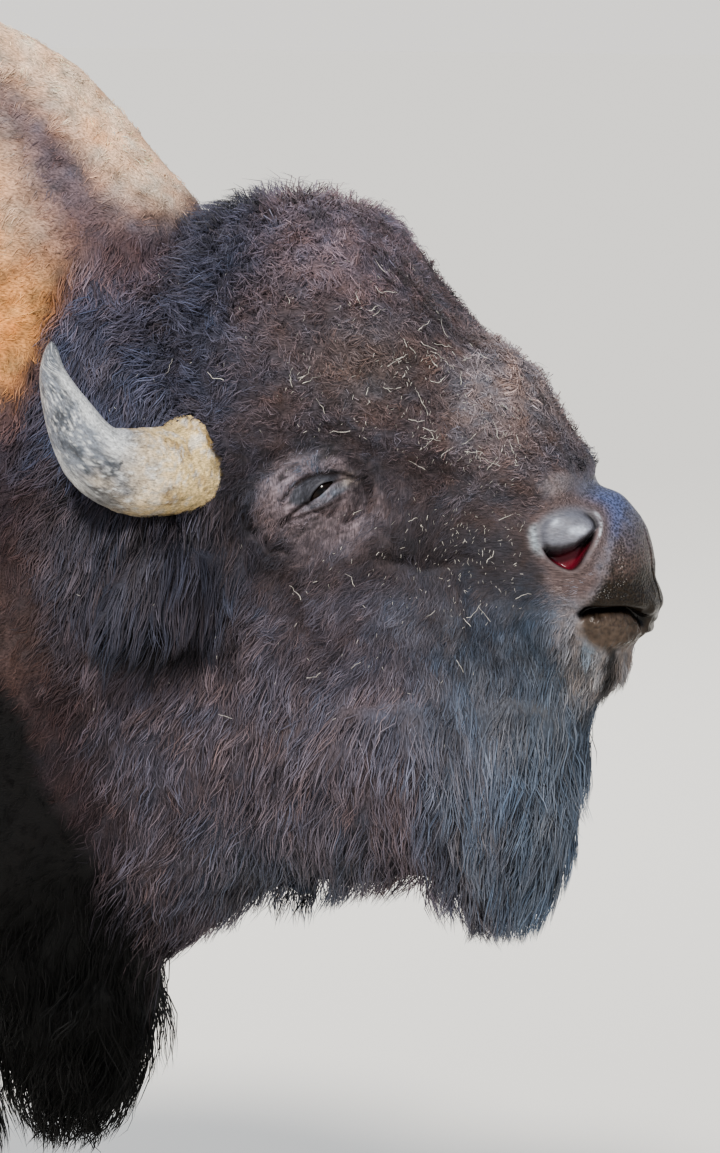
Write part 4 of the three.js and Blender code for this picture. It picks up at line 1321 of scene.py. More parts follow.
def lock_rings(paths, normal, width, tubes):
    """Three-sided rings along each lock and its tip, with the way each corner faces."""
    rings, facing = [], []
    # Where the hide faces the ground its locks hang free, so they are shaded as round strands.
    free = ramp(-normal[:, 2], 0.0, 0.6)[:, None]
    profile = np.interp(np.arange(tubes) / tubes, (0, 0.3, 0.7, 1), (0.7, 1.0, 0.72, 0.2))
    for k in range(tubes + 1):
        ahead = paths[:, min(k + 1, tubes)] - paths[:, max(k - 1, 0)]
        heading = unit(ahead)
        side = unit(np.cross(normal, heading))
        top = np.cross(heading, side)
        soft = unit(normal - heading * (normal * heading).sum(axis=1, keepdims=True) * 0.7)
        if k == tubes:
            rings.append(paths[:, k])
            facing.append(unit(soft + heading * free))
            continue
        for angle in np.radians((90, 210, 330)):
            offset = side * math.cos(angle) + top * math.sin(angle) * 0.6
            rings.append(paths[:, k] + offset * (width * 0.5 * profile[k])[:, None])
            facing.append(unit(soft * (0.8 - 0.65 * free) + offset * (0.35 + 0.65 * free)))
    return np.stack(rings, axis=1), np.stack(facing, axis=1)


def lock_pattern(tubes):
    """The triangles of one lock, closed at its root and its tip."""
    tris = [(0, 2, 1)]
    for k in range(tubes - 1):
        for j in range(3):
            a, b = 3 * k + j, 3 * k + (j + 1) % 3
            tris += [(a, b, b + 3), (a, b + 3, a + 3)]
    last = 3 * (tubes - 1)
    return np.array(tris + [(last + j, last + (j + 1) % 3, last + 3) for j in range(3)])


def lock_mesh(name, verts, facing, faces):
    """Make the mesh of many locks, each vertex shaded by the way it faces."""
    mesh = bpy.data.meshes.new(name)
    mesh.vertices.add(len(verts))
    mesh.vertices.foreach_set("co", verts.ravel())
    mesh.loops.add(faces.size)
    mesh.loops.foreach_set("vertex_index", faces.ravel())
    mesh.polygons.add(len(faces))
    mesh.polygons.foreach_set("loop_start", np.arange(0, faces.size, 3))
    mesh.update(calc_edges=True)
    mesh.polygons.foreach_set("use_smooth", [True] * len(faces))
    mesh.normals_split_custom_set_from_vertices(facing)
    return mesh


def add_map(mesh, name, uv, faces):
    """Give a mesh a UV map in which each vertex has one place."""
    layer = mesh.uv_layers.new(name=name)
    layer.data.foreach_set("uv", uv.reshape(-1, 2)[faces.ravel()].ravel())


def lock_tones(roots, leader, loose, rng):
    """The colour of each lock: its place's, astray by tufts and by single locks, some pale."""
    share = roots["share"]
    count = len(share)
    tone = coat_tone(roots["co"], roots["normal"], share)
    tuft = rng.normal(size=count)[leader]
    cape = share[:, ZONE["cape"]]
    stray = 0.17 * ripple(roots["co"], 0.016, 71) + 0.15 * tuft
    stray = stray * (1 + 0.8 * share_of(share, SHAGGY)) + rng.normal(size=count) * 0.13
    pale = (rng.random(count) < 0.10 + 0.34 * share[:, ZONE["muzzle"]]) * (1 - cape)
    pale = pale * rng.uniform(0.2, 0.9, count)
    speck = 1 + (stray + pale) * (0.35 + 0.65 * loose) * (1 - 0.25 * cape)
    return tone * np.clip(speck, 0.35, 2.2)[:, None]


def grow_locks(name, zones, side, tubes, seed, count, settings):
    """Grow one piece of the coat as closed, tapered locks rooted in the hide."""
    rng = np.random.default_rng(seed)
    roots = pick_roots(zones, side, count, rng)
    paths, width, leader = lock_paths(roots, tubes, rng, settings)
    share = roots["share"]
    loose = np.clip(share @ FORM[:, 4], 0, 1)
    # Clumps catch the light one by one: what a lock faces strays from the skin by clumps of 30 mm.
    swell = swirl(roots["co"] * (1, 1, 1.6), 0.03, 61) + 0.6 * swirl(roots["co"], 0.08, 65)
    leaning = roots["normal"] * (1 - 0.75 * share[:, ZONE["ear"], None] * (0, 0, 1))
    leaning = unit(leaning + swell * (0.30 * loose)[:, None])
    verts, facing = lock_rings(paths, leaning, width, tubes)
    per = verts.shape[1]
    faces = (lock_pattern(tubes)[None] + (np.arange(count) * per)[:, None, None]).reshape(-1, 3)
    mesh = lock_mesh(name, verts.reshape(-1, 3), facing.reshape(-1, 3), faces)
    tone = lock_tones(roots, leader, loose, rng)
    along = np.append(np.repeat(np.arange(tubes) / tubes, 3), 1.0)
    # Each lock is painted darker towards its root as shade among the locks, the more so where the
    # hair is curly.
    curly = np.clip(share @ FORM[:, 4], 0, 1.5) * (1 - 0.6 * share[:, ZONE["cape"]])
    shade = (0.68 - 0.20 * curly)[:, None] + (0.46 + 0.24 * curly)[:, None] * ramp(along, 0.0, 0.9)
    colour = np.clip(tone[:, None, :] * shade[:, :, None], 0, 1).reshape(-1, 3)
    store_colour(mesh, "coat", colour)
    corners = np.stack((np.append(np.tile((0.5, 0.0, 1.0), tubes), 0.5), along), axis=1)
    home = np.clip(roots["home"][:, None, :] + corners[None] * PATCH - PATCH / 2, 0, 1)
    add_map(mesh, "OFBake", home, faces)
    strand = corners[None] * (1.0, 0.3) + rng.random((count, 1, 2)) * 40
    add_map(mesh, "strand", strand, faces)
    return mesh


# A slot name handed with each piece of the coat, by the second word of its name.
COAT_SLOTS = {
    "crown": "coat_crown", "face": "coat_face", "mane": "coat_mane", "cape": "coat_cape",
    "beard": "coat_beard", "ears": "coat_crown", "chest": "coat_mane", "rear": "coat_rear",
    "shanks": "coat_legs", "tail": "coat_rear"}


class BISON_OT_coat(bpy.types.Operator):
    """Grow the coat over the hide, one piece for each part of the body."""

    bl_idname = "bison.coat"
    bl_label = "Coat"

    def execute(self, context):
        if not HIDE:
            self.report({"ERROR"}, "Make the hide first")
            raise RuntimeError("the coat needs the hide")
        wool = wool_material()
        settings = context.scene.bison_settings
        for seed, (name, (zones, side, count, tubes)) in enumerate(PIECES.items(), FIRST_SEED):
            count = int(count * settings.coat_fullness)
            mesh = grow_locks(name, zones, side, tubes, seed, count, settings)
            finish_piece(name, mesh, wool, COAT_SLOTS[name.split("_")[1]])
        return {"FINISHED"}


def eye_material():
    """Eyeball: a dark brown iris under a clear, wet cornea that gives a sharp small reflection."""
    material, tree = new_material("wet_eyeball")
    colour = add(tree, "ShaderNodeAttribute", attribute_name="iris")
    where = add(tree, "ShaderNodeTexCoord")
    # The fibres of the iris are about 1 mm apart.
    fibre = add(tree, "ShaderNodeTexNoise",
                {"Vector": where.outputs["Object"], "Scale": 900.0, "Detail": 3.0})
    level = add(tree, "ShaderNodeMapRange",
                {"Value": fibre.outputs["Fac"], "To Min": 0.6, "To Max": 1.4})
    tinted = add(tree, "ShaderNodeVectorMath",
                 {0: colour.outputs["Color"], 1: level.outputs["Result"]},
                 operation="MULTIPLY")
    shader = add(tree, "ShaderNodeBsdfPrincipled", {
        "Base Color": tinted.outputs["Vector"], "Roughness": 0.16, "Specular IOR Level": 0.2,
        "Coat Weight": 0.08, "Coat Roughness": 0.08})
    add(tree, "ShaderNodeOutputMaterial", {"Surface": shader.outputs["BSDF"]})
    return material


# The cornea's radius, and how far it bulges from the eyeball.
CORNEA = 13 * MM
CORNEA_RISE = 1.2 * MM
# Where the iris ends and the pupil ends, from the middle of the eye in millimetres: from, to.
IRIS_EDGE = (17.5, 19.0)
PUPIL_EDGE = (4.6, 5.4)


class BISON_OT_eyes(bpy.types.Operator):
    """Make the two eyeballs behind their lids."""

    bl_idname = "bison.eyes"
    bl_label = "Eyes"

    def execute(self, context):
        material = eye_material()
        settings = context.scene.bison_settings
        for side_name, side in SIDES.items():
            name = "eyeball_" + side_name
            low, high = (Vector(corner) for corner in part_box("eye_" + side_name))
            centre = (low + high) / 2
            ball = bmesh.new()
            bmesh.ops.create_uvsphere(ball, u_segments=64, v_segments=40, radius=settings.eyeball)
            gaze = Vector((0.30, side * 0.93, 0.05)).normalized()
            turn = Vector((0, 0, 1)).rotation_difference(gaze).to_matrix().to_4x4()
            for vert in ball.verts:
                swell = max(0, 1 - (vert.co.xy.length / CORNEA) ** 2)
                vert.co.z += CORNEA_RISE * swell * (vert.co.z > 0)
            bmesh.ops.transform(ball, matrix=Matrix.Translation(centre) @ turn, verts=ball.verts)
            co = points_of(ball) - np.array(centre)
            forward = co @ np.array(gaze)
            off = (co - forward[:, None] * np.array(gaze)) / MM
            ring = np.linalg.norm(off, axis=1)
            iris = np.array(settings.iris)[None] * np.ones((len(co), 1))
            white = ramp(ring, *IRIS_EDGE) + (forward < 0)
            tone = mix(iris, np.array(linear(EYE_TONES["white"])), np.clip(white, 0, 1))
            # The pupil is a level oval.
            oval = np.hypot(ring * 0.62, np.abs(off[:, 2]) * 0.95)
            pupil = (1 - ramp(oval, *PUPIL_EDGE)) * (forward > 0)
            tone = mix(tone, np.array(linear(EYE_TONES["pupil"])), pupil)
            mesh = to_mesh(name, ball)
            store_colour(mesh, "iris", tone)
            finish_piece(name, mesh, material, "eye", "eye_" + side_name)
        return {"FINISHED"}


def horn_material():
    """Horn keratin: granular cream base, slate grey curve, worn edges with painted highlights."""
    material, tree = new_material("horn_keratin")
    colour = add(tree, "ShaderNodeAttribute", attribute_name="keratin")
    where = add(tree, "ShaderNodeTexCoord")
    lengthwise = add(tree, "ShaderNodeAttribute", attribute_name="grain_place")
    # Flakes of the horn sheath are about 3 mm; its fibres run lengthwise about 1 mm apart.
    flake = add(tree, "ShaderNodeTexNoise",
                {"Vector": where.outputs["Object"], "Scale": 330.0, "Detail": 5.0,
                 "Roughness": 0.65})
    scratch = add(tree, "ShaderNodeTexNoise",
                  {"Vector": lengthwise.outputs["Vector"], "Scale": 900.0,
                   "Detail": 3.0})
    both = add(tree, "ShaderNodeMath", {0: flake.outputs["Fac"], 1: scratch.outputs["Fac"]},
               operation="ADD")
    level = add(tree, "ShaderNodeMapRange",
                {"Value": both.outputs["Value"], "From Min": 0.7, "From Max": 1.3,
                 "To Min": 0.4, "To Max": 1.55})
    tinted = add(tree, "ShaderNodeVectorMath",
                 {0: colour.outputs["Color"], 1: level.outputs["Result"]},
                 operation="MULTIPLY")
    bump = add(tree, "ShaderNodeBump",
               {"Height": both.outputs["Value"], "Strength": 0.7, "Distance": 0.0015})
    shader = add(tree, "ShaderNodeBsdfPrincipled", {
        "Base Color": tinted.outputs["Vector"], "Roughness": 0.30, "Specular IOR Level": 0.55,
        "Normal": bump.outputs["Normal"]})
    add(tree, "ShaderNodeOutputMaterial", {"Surface": shader.outputs["BSDF"]})
    return material


# Stations along the horn: forward, outward and up from the middle plane at the eyes' height, then
# the radius, all in millimetres. The ring of knobs round its base lies at the third.
HORN_PATH = ((-98, 95, 30, 32), (-122, 130, 26, 36), (-152, 170, 23, 47), (-176, 205, 22, 50),
             (-196, 238, 26, 48), (-224, 271, 43, 40), (-253, 291, 97, 26.5),
             (-268, 297, 143, 14), (-271, 290, 174, 5))
KNOBS = HORN_PATH[2][:3]
HORN_STATIONS = 150
HORN_SIDES = 88
# The length of the rounded tip, in millimetres.
HORN_TIP = 12
HORN_TONES = {"base": "#dcc291", "middle": "#e3cdac", "slate": "#7b8088", "shadow": "#363b43",
              "tip": "#666a70", "pale": "#e0e1e0", "crack": "#2c2722", "stain": "#86693f"}


def spline_stations(path, steps):
    """Smooth stations along a path of places and radii."""
    path = np.array(path, float)
    knots = np.concatenate(([0], np.cumsum(np.linalg.norm(np.diff(path[:, :3], axis=0), axis=1))))
    fine = np.linspace(0, knots[-1], steps)
    slopes = np.gradient(path, knots, axis=0)
    which = np.clip(np.searchsorted(knots, fine, side="right") - 1, 0, len(knots) - 2)
    span = (knots[which + 1] - knots[which])[:, None]
    t = ((fine - knots[which])[:, None]) / span
    a, b = path[which], path[which + 1]
    return ((2 * t ** 3 - 3 * t ** 2 + 1) * a + (t ** 3 - 2 * t ** 2 + t) * span * slopes[which]
            + (3 * t ** 2 - 2 * t ** 3) * b + (t ** 3 - t ** 2) * span * slopes[which + 1])


def loft(bm, stations, segments):
    """Extrude a ring through stations of places and radii, and close both ends."""
    centres = [Vector(row[:3]) for row in stations]
    ring = bmesh.ops.create_circle(bm, cap_ends=False, segments=segments, radius=1.0)["verts"]
    flat = [v.co.copy() for v in ring]
    edges = list({e for v in ring for e in v.link_edges})
    rings = []
    for index, centre in enumerate(centres):
        if index:
            made = bmesh.ops.extrude_edge_only(bm, edges=edges)["geom"]
            edges = [g for g in made if isinstance(g, bmesh.types.BMEdge)
                     and all(v in made for v in g.verts)]
            made_verts = {v for g in edges for v in g.verts}
            ring = [next(e.other_vert(v) for e in v.link_edges if e.other_vert(v) in made_verts
                         and e not in edges) for v in ring]
        ahead = centres[min(index + 1, len(centres) - 1)] - centres[max(index - 1, 0)]
        axis = ahead.normalized()
        side = axis.cross(Vector((0, 0, 1))).normalized()
        over = side.cross(axis)
        for vert, spoke in zip(ring, flat):
            vert.co = centre + (side * spoke.x + over * spoke.y) * stations[index][3]
        rings.append(ring)
    bmesh.ops.contextual_create(bm, geom=rings[0])
    bmesh.ops.contextual_create(bm, geom=rings[-1])
    faces = list({f for ring in rings for v in ring for f in v.link_faces})
    bmesh.ops.recalc_face_normals(bm, faces=faces)
    return rings


def shape_horn(side):
    """Make one horn with its knobs and ridges, and say where on the horn each vertex lies."""
    stations = spline_stations(HORN_PATH, HORN_STATIONS)
    run = np.concatenate(([0], np.cumsum(np.linalg.norm(np.diff(stations[:, :3], axis=0), axis=1))))
    blunt = np.clip((run[-1] - run) / HORN_TIP, 0.001, 1)
    stations[:, 3] *= np.sqrt(1 - (1 - blunt) ** 2)
    ring_at = run[np.linalg.norm(stations[:, :3] - KNOBS, axis=1).argmin()]
    stations[:, 0] += FACE_ORIGIN[0] / MM
    stations[:, 1] *= side
    stations[:, 2] += FACE_ORIGIN[2] / MM
    stations *= MM
    horn = bmesh.new()
    loft(horn, stations, HORN_SIDES)
    horn.normal_update()
    co = points_of(horn)
    normal = np.array([v.normal for v in horn.verts])
    nearest = ((co[:, None, :] - stations[None, :, :3]) ** 2).sum(axis=2).argmin(axis=1)
    along = nearest / (len(stations) - 1)
    far = run[nearest]
    axis = unit(np.gradient(stations[:, :3], axis=0))[nearest]
    cross = unit(np.cross(axis, (0, 0, 1.0)))
    off = unit(co - stations[nearest, :3])
    turn = np.arctan2((off * np.cross(cross, axis)).sum(axis=1), (off * cross).sum(axis=1))
    # Places along the grain, squeezed lengthwise, and over the crust, in metres.
    grain = np.stack((far * 0.22, 40 * np.cos(turn), 40 * np.sin(turn)), axis=1) * MM
    crust = np.stack((far, 45 * np.cos(turn), 45 * np.sin(turn)), axis=1) * MM
    around = ripple(crust, 0.020, 81)
    grit = ripple(crust, 0.008, 84)
    past = far - ring_at
    ring = past - 5 * ripple(crust, 0.05, 88)
    ridge = np.sin(far / 2.4 + 3 * ripple(crust, 0.05, 82)) * np.exp(-((past - 30) / 26) ** 2)
    knobs = np.exp(-(ring / 12) ** 2) * (2.5 + 0.8 * around + 0.5 * grit)
    crest = np.exp(-(past / 13) ** 2) * ramp(normal[:, 2], 0.4, 1.0) * 10
    lift = 0.35 * ridge * (1 + around) + knobs + crest
    lift += 0.9 * ripple(crust, 0.05, 83) * (1 - along)
    lift += 0.7 * grit * (1 - ramp(along, 0.4, 0.8))
    lift -= 2.5 * np.exp(-((past - 20) / 7) ** 2) * ramp(around, -0.4, 0.6)
    co = co + normal * (lift * MM * (1 - ramp(along, 0.93, 1.0)))[:, None]
    for vert, point in zip(horn.verts, co):
        vert.co = point
    return horn, {"normal": normal, "along": along, "ring": ring, "grain": grain, "crust": crust,
                  "around": around}


def paint_horn(at, base, slate):
    """Horn colours: stained cream base, slate curve, worn edges with painted highlight, painted
    shade below.
    """
    tones = {name: np.array(linear(value)) for name, value in HORN_TONES.items()}
    tones.update(base=np.array(base), slate=np.array(slate))
    along, around, normal, crust = at["along"], at["around"], at["normal"], at["crust"]
    broad = ripple(crust, 0.05, 89)
    chip = ripple(crust, 0.006, 90)
    tone = mix(tones["base"] * np.ones((len(along), 1)), tones["middle"],
               ramp(along + 0.04 * around, 0.36, 0.52))
    tone = mix(tone, tones["slate"], ramp(along + 0.05 * broad, 0.46, 0.66))
    patch = ripple(crust, 0.036, 92) + 0.35 * chip
    dim = ramp(along, 0.46, 0.60) * (1 - ramp(along, 0.90, 1.0))
    tone = mix(tone, tones["shadow"], 0.85 * dim * ramp(patch, -0.15, 0.75))
    # The outer edge of the curve is pale, partly worn and partly a painted highlight, and its broad
    # side keeps its dark slate.
    worn_and_highlight = 1 - ramp(np.abs(normal[:, 1]) + 0.12 * broad + 0.05 * chip, 0.5, 0.85)
    tone = mix(tone, tones["pale"], 0.8 * worn_and_highlight * ramp(along, 0.5, 0.62))
    tone = mix(tone, tones["tip"], ramp(along, 0.84, 1.0))
    fleck = ramp(ripple(at["grain"], 0.003, 93) + 0.6 * chip, 0.3, 1.3)
    tone = mix(tone, tones["pale"], 0.7 * fleck * ramp(along, 0.3, 0.55))
    crack = ramp(ripple(at["grain"], 0.008, 87) - 0.5 * broad, 0.5, 1.3)
    tone = mix(tone, tones["crack"], 0.45 * crack)
    blotch = ramp(ripple(crust, 0.028, 91) + 0.5 * around + 0.4 * chip, 0.1, 1.3)
    tone = mix(tone, tones["stain"], 0.7 * blotch * (1 - ramp(along, 0.42, 0.58)))
    # Pale streaks near the base, partly worn and partly painted highlight.
    worn_and_highlight = ramp(around + 0.7 * chip, 0.3, 1.2)
    tone = mix(tone, tones["pale"], 0.5 * worn_and_highlight * (1 - ramp(along, 0.40, 0.54)))
    # Painted shade: the underside of the horn is darker.
    tone = mix(tone, tones["crack"], 0.5 * ramp(-normal[:, 2], 0.55, 1.0))
    tone = mix(tone, tones["crack"], 0.9 * (1 - ramp(at["ring"], -18, -9)))
    return np.clip(tone, 0, 1)


class BISON_OT_horns(bpy.types.Operator):
    """Make the two horns with their knobbly base rings."""

    bl_idname = "bison.horns"
    bl_label = "Horns"

    def execute(self, context):
        material = horn_material()
        settings = context.scene.bison_settings
        for side_name, side in SIDES.items():
            name = "horn_sheath_" + side_name
            horn, at = shape_horn(side)
            mesh = to_mesh(name, horn)
            layer = mesh.attributes.new("grain_place", "FLOAT_VECTOR", "POINT")
            layer.data.foreach_set("vector", at["grain"].ravel())
            store_colour(mesh, "keratin", paint_horn(at, settings.horn_base, settings.horn_slate))
            finish_piece(name, mesh, material, "horn", "horn_" + side_name)
        return {"FINISHED"}


def hoof_material(clean):
    """Hoof keratin: near black, worn dull, with growth rings and dusty grey at the ground edge."""
    material, tree = new_material("hoof_keratin")
    where = add(tree, "ShaderNodeTexCoord")
    # Growth rings stand about 6 mm apart down the wall; dust lies in patches of about 17 mm.
    lie = add(tree, "ShaderNodeMapping",
              {"Vector": where.outputs["Object"], "Scale": (0.25, 0.25, 1.0)})
    rings = add(tree, "ShaderNodeTexNoise",
                {"Vector": lie.outputs["Vector"], "Scale": 170.0, "Detail": 3.0})
    dust = add(tree, "ShaderNodeTexNoise",
               {"Vector": where.outputs["Object"], "Scale": 60.0, "Detail": 4.0})
    tone = add(tree, "ShaderNodeMix", {0: dust.outputs["Fac"], 6: (*clean, 1.0),
                                       7: (*linear(HOOF_TONES["dust"]), 1.0)}, data_type="RGBA")
    bump = add(tree, "ShaderNodeBump",
               {"Height": rings.outputs["Fac"], "Strength": 0.5, "Distance": 0.002})
    shader = add(tree, "ShaderNodeBsdfPrincipled", {
        "Base Color": tone.outputs[2], "Roughness": 0.55, "Normal": bump.outputs["Normal"]})
    add(tree, "ShaderNodeOutputMaterial", {"Surface": shader.outputs["BSDF"]})
    return material


# The grid on which a claw is rounded, the gap and the rise of its growth rings, and how much of its
# edge is worn flat by the ground, in metres.
CLAW_GRID = 4 * MM
RING_GAP = 6 * MM
RING_RISE = 0.35 * MM
WORN_FLAT = 2.5 * MM


class BISON_OT_hooves(bpy.types.Operator):
    """Make the cloven hooves, flat on the ground."""

    bl_idname = "bison.hooves"
    bl_label = "Hooves"

    def execute(self, context):
        material = hoof_material(context.scene.bison_settings.hoof)
        for leg in ("fore_right", "fore_left", "hind_right", "hind_left"):
            nodes = ["hoof_%s_%s" % (leg, part) for part in ("outer", "inner")]
            hooves = bmesh.new()
            for node in nodes:
                claw = to_mesh(node, node_mesh(node))
                hooves.from_mesh(evaluated(claw, "REMESH", mode="VOXEL", voxel_size=CLAW_GRID))
            smooth(hooves, hooves.verts, 3)
            for vert in hooves.verts:
                ring = math.sin(vert.co.z / RING_GAP * 2 * math.pi)
                vert.co += vert.normal * RING_RISE * ring * (vert.co.z > RING_GAP)
                vert.co.z = 0.0 if vert.co.z < WORN_FLAT else vert.co.z
            name = "hooves_" + leg
            finish_piece(name, to_mesh(name, hooves), material, "hoof", *nodes)
        return {"FINISHED"}


# Where dry grass clings to the wool: forward and up from the eye, spread along and up, in
# millimetres, then how many stalks and how many husks.
STRAW = (((66, 232), (10, 10), 3, 14), ((48, 205), (12, 8), 3, 8), ((108, 150), (18, 16), 10, 34),
         ((136, 140), (16, 16), 7, 24), ((-20, 128), (12, 8), 4, 10), ((122, 70), (9, 14), 7, 16),
         ((36, 74), (14, 10), 2, 8), ((190, 40), (26, 8), 7, 24), ((180, 70), (44, 26), 5, 60),
         ((60, 130), (60, 50), 2, 50), ((180, -52), (36, 38), 5, 170),
         ((100, -60), (50, 40), 2, 60), ((0, 0), (150, 150), 3, 60),
         ((60, -190), (90, 40), 7, 24), ((-140, 130), (60, 60), 2, 24))

# Each bit is looked for from this far outside the right eye, in millimetres.
OUTSIDE = -200
# The bare nose is clean from here forward, in metres.
NOSE_START = EYE.x + 0.222


def straw_material():
    """Dry grass: pale, papery and matt, slightly shiny where the stalk is round."""
    material, tree = new_material("dry_grass")
    where = add(tree, "ShaderNodeTexCoord")
    # Stalks bleach unevenly, in patches of about 12 mm.
    patch = add(tree, "ShaderNodeTexNoise",
                {"Vector": where.outputs["Object"], "Scale": 80.0, "Detail": 2.0})
    level = add(tree, "ShaderNodeMapRange",
                {"Value": patch.outputs["Fac"], "From Min": 0.3, "From Max": 0.7,
                 "To Min": 0.3, "To Max": 1.25})
    tinted = add(tree, "ShaderNodeVectorMath",
                 {0: linear(TONES["straw"]), 1: level.outputs["Result"]},
                 operation="MULTIPLY")
    shader = add(tree, "ShaderNodeBsdfPrincipled",
                 {"Base Color": tinted.outputs["Vector"], "Roughness": 0.6})
    add(tree, "ShaderNodeOutputMaterial", {"Surface": shader.outputs["BSDF"]})
    return material


class BISON_OT_straw(bpy.types.Operator):
    """Scatter the stalks and husks of dry grass that cling to the crown and the right cheek."""

    bl_idname = "bison.straw"
    bl_label = "Dry grass"

    def execute(self, context):
        rng = np.random.default_rng(STRAW_SEED)
        grass = context.scene.bison_settings.grass
        bits = bmesh.new()
        for (x, z), (wide, tall), stalks, husks in STRAW:
            for index in range(int((stalks + husks) * grass)):
                at = EYE + Vector((x + rng.normal() * wide, OUTSIDE, z + rng.normal() * tall)) * MM
                spot, normal, _, _ = HIDE["outline"].ray_cast(at, Vector((0, 1, 0)))
                if spot is None:
                    continue
                stalk = index < stalks * grass
                turn = rng.uniform(0, math.pi) if stalk else rng.normal(-1.9, 0.6)
                ahead = Vector((math.cos(turn), 0, math.sin(turn)))
                ahead = (ahead - normal * ahead.dot(normal)).normalized()
                side = normal.cross(ahead)
                length = (rng.uniform(9, 24) if stalk else rng.uniform(1.5, 5.5)) * MM
                radius = (rng.uniform(0.3, 0.5) if stalk else rng.uniform(0.14, 0.32)) * MM
                point = spot + normal * (rng.uniform(-3, 2) if stalk else rng.uniform(-5, 1)) * MM
                count = 6 if stalk else 3
                line = []
                for step in range(count):
                    line.append((*point, radius * (1 - 0.1 * step)))
                    bend = 0.6 if stalk else 0.2
                    wave = side * rng.uniform(-bend, bend) + normal * rng.uniform(-0.15, 0.25)
                    point = point + (ahead + wave) * length / (count - 1)
                if spot.x < NOSE_START:
                    loft(bits, np.array(line), 5)
        finish_piece("dry_grass", to_mesh("dry_grass", bits), straw_material(), "coat_crown")
        return {"FINISHED"}


# The lamps: kind, place, then a sun's angle in degrees or a disk's width in metres, power, colour.
LAMPS = {
    "key": ("SUN", (0.8, -6.4, 6.6), 8, 3.3, (1.0, 0.96, 0.90)),
    "fill": ("SUN", (3.2, -4.6, 1.4), 30, 0.34, (0.97, 0.98, 1.0)),
    "back": ("AREA", (-3.0, 5.0, 5.0), 5.0, 220, (0.95, 0.97, 1.0))}
LAMPS_AIM = Vector((0.4, 0, 1.0))
# The studio's wall is as bright as the floor where they meet, and bluer higher up.
WALL_LOW = (0.965, 0.940, 0.905, 1.0)
WALL_HIGH = (0.48, 0.53, 0.62, 1.0)
FLOOR_SIZE = 40.0

# The camera: degrees ahead of the animal's right side, degrees up, metres away, the lens and the
# sensor in millimetres, and how far from the right eye it aims.
VIEW_AZIMUTH = 15
VIEW_ELEVATION = 8
VIEW_DISTANCE = 6.0
LENS = 167.27
SENSOR = 36.0
VIEW_AIM = EYE + Vector((0.04276, 0.00157, -0.09594))


def add_floor(scene):
    """Lay the plain pale floor."""
    material, tree = new_material("pale_studio_floor")
    shader = add(tree, "ShaderNodeBsdfPrincipled", {
        "Base Color": (*linear(FLOOR_TONE), 1.0), "Roughness": 0.9})
    add(tree, "ShaderNodeOutputMaterial", {"Surface": shader.outputs["BSDF"]})
    floor = bmesh.new()
    bmesh.ops.create_grid(floor, x_segments=2, y_segments=2, size=FLOOR_SIZE)
    mesh = to_mesh("floor", floor)
    mesh.materials.append(material)
    ground = bpy.data.objects.new("floor", mesh)
    scene.collection.objects.link(ground)


def add_lamps(scene):
    """Hang the lamps."""
    for name, (kind, at, size, power, colour) in LAMPS.items():
        data = bpy.data.lights.new(name, kind)
        if kind == "SUN":
            data.angle = math.radians(size)
        else:
            data.shape = "DISK"
            data.size = size
        data.energy = power
        data.color = colour
        lamp = bpy.data.objects.new(name, data)
        lamp.location = at
        lamp.rotation_euler = (LAMPS_AIM - Vector(at)).to_track_quat("-Z", "Y").to_euler()
        scene.collection.objects.link(lamp)


def add_wall(scene):
    """Surround the stage with the studio's plain wall."""
    world = bpy.data.worlds.new("studio")
    world.use_nodes = True
    tree = world.node_tree
    ray = add(tree, "ShaderNodeTexCoord")
    split = add(tree, "ShaderNodeSeparateXYZ", {"Vector": ray.outputs["Generated"]})
    rise = add(tree, "ShaderNodeMapRange",
               {"Value": split.outputs["Z"], "From Min": 0.02, "From Max": 0.30})
    tone = add(tree, "ShaderNodeMix", {0: rise.outputs["Result"], 6: WALL_LOW, 7: WALL_HIGH},
               data_type="RGBA")
    tree.links.new(tone.outputs[2], tree.nodes["Background"].inputs["Color"])
    scene.world = world
    scene.view_settings.look = "AgX - Medium High Contrast"


def add_camera(scene):
    """Set the camera up before the animal's right side."""
    data = bpy.data.cameras.new("camera")
    data.lens = LENS
    data.sensor_width = SENSOR
    camera = bpy.data.objects.new("camera", data)
    azimuth, elevation = math.radians(VIEW_AZIMUTH), math.radians(VIEW_ELEVATION)
    back = Vector((math.sin(azimuth) * math.cos(elevation),
                   -math.cos(azimuth) * math.cos(elevation),
                   math.sin(elevation)))
    camera.location = VIEW_AIM + back * VIEW_DISTANCE
    camera.rotation_euler = back.to_track_quat("Z", "Y").to_euler()
    scene.collection.objects.link(camera)
    scene.camera = camera


class BISON_OT_stage(bpy.types.Operator):
    """Lay the plain pale floor, and set the soft lights and the camera."""

    bl_idname = "bison.stage"
    bl_label = "Stage"

    def execute(self, context):
        for step in (add_floor, add_lamps, add_wall, add_camera):
            step(context.scene)
        return {"FINISHED"}


# The colours of the coat that a user may change: the tone that each sets, and what it covers.
CHOICES = {
    "cape": ("tan", "Wool of the hump and the shoulders"),
    "hump": ("cream", "Pale wool on the front of the hump"),
    "crown": ("crown", "Curly wool of the forehead"),
    "poll": ("poll", "Wool behind the horns"),
    "mane": ("mane", "Long wool of the neck, the throat and the jaws"),
    "beard": ("beard", "Hair of the beard"),
    "chest": ("black", "Hair of the chest and the upper forelegs"),
    "flank": ("flank", "Short coat of the back and the flanks"),
    "legs": ("leg", "Short coat of the lower legs"),
    "nose": ("pad_mid", "Bare skin of the nose pad"),
}


def colour_setting(label, text, tone):
    """A colour that the sidebar shows."""
    return FloatVectorProperty(name=label, description=text, default=linear(tone), size=3,
                               min=0.0, max=1.0, subtype="COLOR")


def coat_setting(name):
    """A colour of the coat that the sidebar shows."""
    tone, text = CHOICES[name]
    return colour_setting(name.capitalize(), text, TONES[tone])


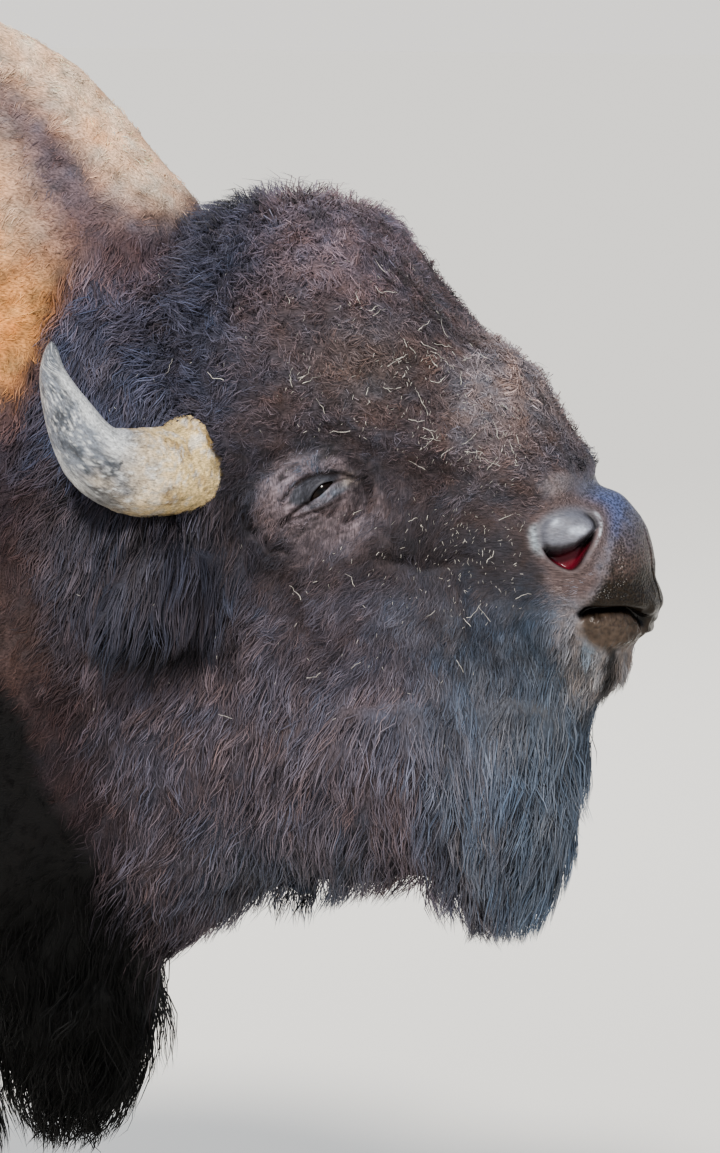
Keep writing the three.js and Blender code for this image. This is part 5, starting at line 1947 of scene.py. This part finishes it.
class BisonSettings(bpy.types.PropertyGroup):
    """Sizes and colours of the animal that a user may change."""

    hide_voxel: FloatProperty(
        name="Hide grid",
        description="Width of a face of the hide on the body before it is refined",
        default=0.016, min=0.008, max=0.04, unit="LENGTH")
    coat_fullness: FloatProperty(
        name="Coat fullness", description="Locks of hair beside the usual number",
        default=1.0, min=0.05, max=1.2, subtype="FACTOR")
    lock_length: FloatProperty(
        name="Lock length", description="Length of every lock beside its usual length",
        default=1.0, min=0.3, max=1.5, subtype="FACTOR")
    lock_width: FloatProperty(
        name="Lock width", description="Width of every lock beside its usual width",
        default=1.0, min=0.3, max=2.0, subtype="FACTOR")
    eyeball: FloatProperty(
        name="Eyeball", description="Radius of each eyeball",
        default=EYE_BALL * MM, min=0.018, max=0.022, unit="LENGTH")
    grass: FloatProperty(
        name="Dry grass", description="Dry grass in the coat beside the usual amount",
        default=1.0, min=0.0, max=2.0, subtype="FACTOR")
    cape: coat_setting("cape")
    hump: coat_setting("hump")
    crown: coat_setting("crown")
    poll: coat_setting("poll")
    mane: coat_setting("mane")
    beard: coat_setting("beard")
    chest: coat_setting("chest")
    flank: coat_setting("flank")
    legs: coat_setting("legs")
    nose: coat_setting("nose")
    horn_base: colour_setting("Horn base", "Horn at its root", HORN_TONES["base"])
    horn_slate: colour_setting("Horn curve", "Horn along its curve", HORN_TONES["slate"])
    iris: colour_setting("Iris", "Iris of the eye", EYE_TONES["iris"])
    hoof: colour_setting("Hoof", "Horn of the hooves where it is clean", HOOF_TONES["clean"])


OPERATORS = (BISON_OT_stage, BISON_OT_hide, BISON_OT_coat, BISON_OT_straw, BISON_OT_eyes,
             BISON_OT_horns, BISON_OT_hooves)


class BISON_PT_panel(bpy.types.Panel):
    """Lists the pieces of the bison in the sidebar."""

    bl_idname = "BISON_PT_panel"
    bl_label = "American Bison"
    bl_space_type = "VIEW_3D"
    bl_region_type = "UI"
    bl_category = "Bison"

    def draw(self, context):
        for name in BisonSettings.__annotations__:
            self.layout.prop(context.scene.bison_settings, name)
        for operator in OPERATORS:
            self.layout.operator(operator.bl_idname)


def register():
    """Register the classes and the scene's settings."""
    for item in (BisonSettings, *OPERATORS, BISON_PT_panel):
        bpy.utils.register_class(item)
    bpy.types.Scene.bison_settings = PointerProperty(type=BisonSettings)


def unregister():
    """Remove the settings and the classes."""
    del bpy.types.Scene.bison_settings
    for item in (BISON_PT_panel, *reversed(OPERATORS), BisonSettings):
        bpy.utils.unregister_class(item)


def main():
    """Build the whole animal."""
    register()
    bpy.ops.bison.stage()
    bpy.ops.bison.hide()
    bpy.ops.bison.coat()
    bpy.ops.bison.straw()
    bpy.ops.bison.eyes()
    bpy.ops.bison.horns()
    bpy.ops.bison.hooves()


if __name__ == "__main__":
    main()
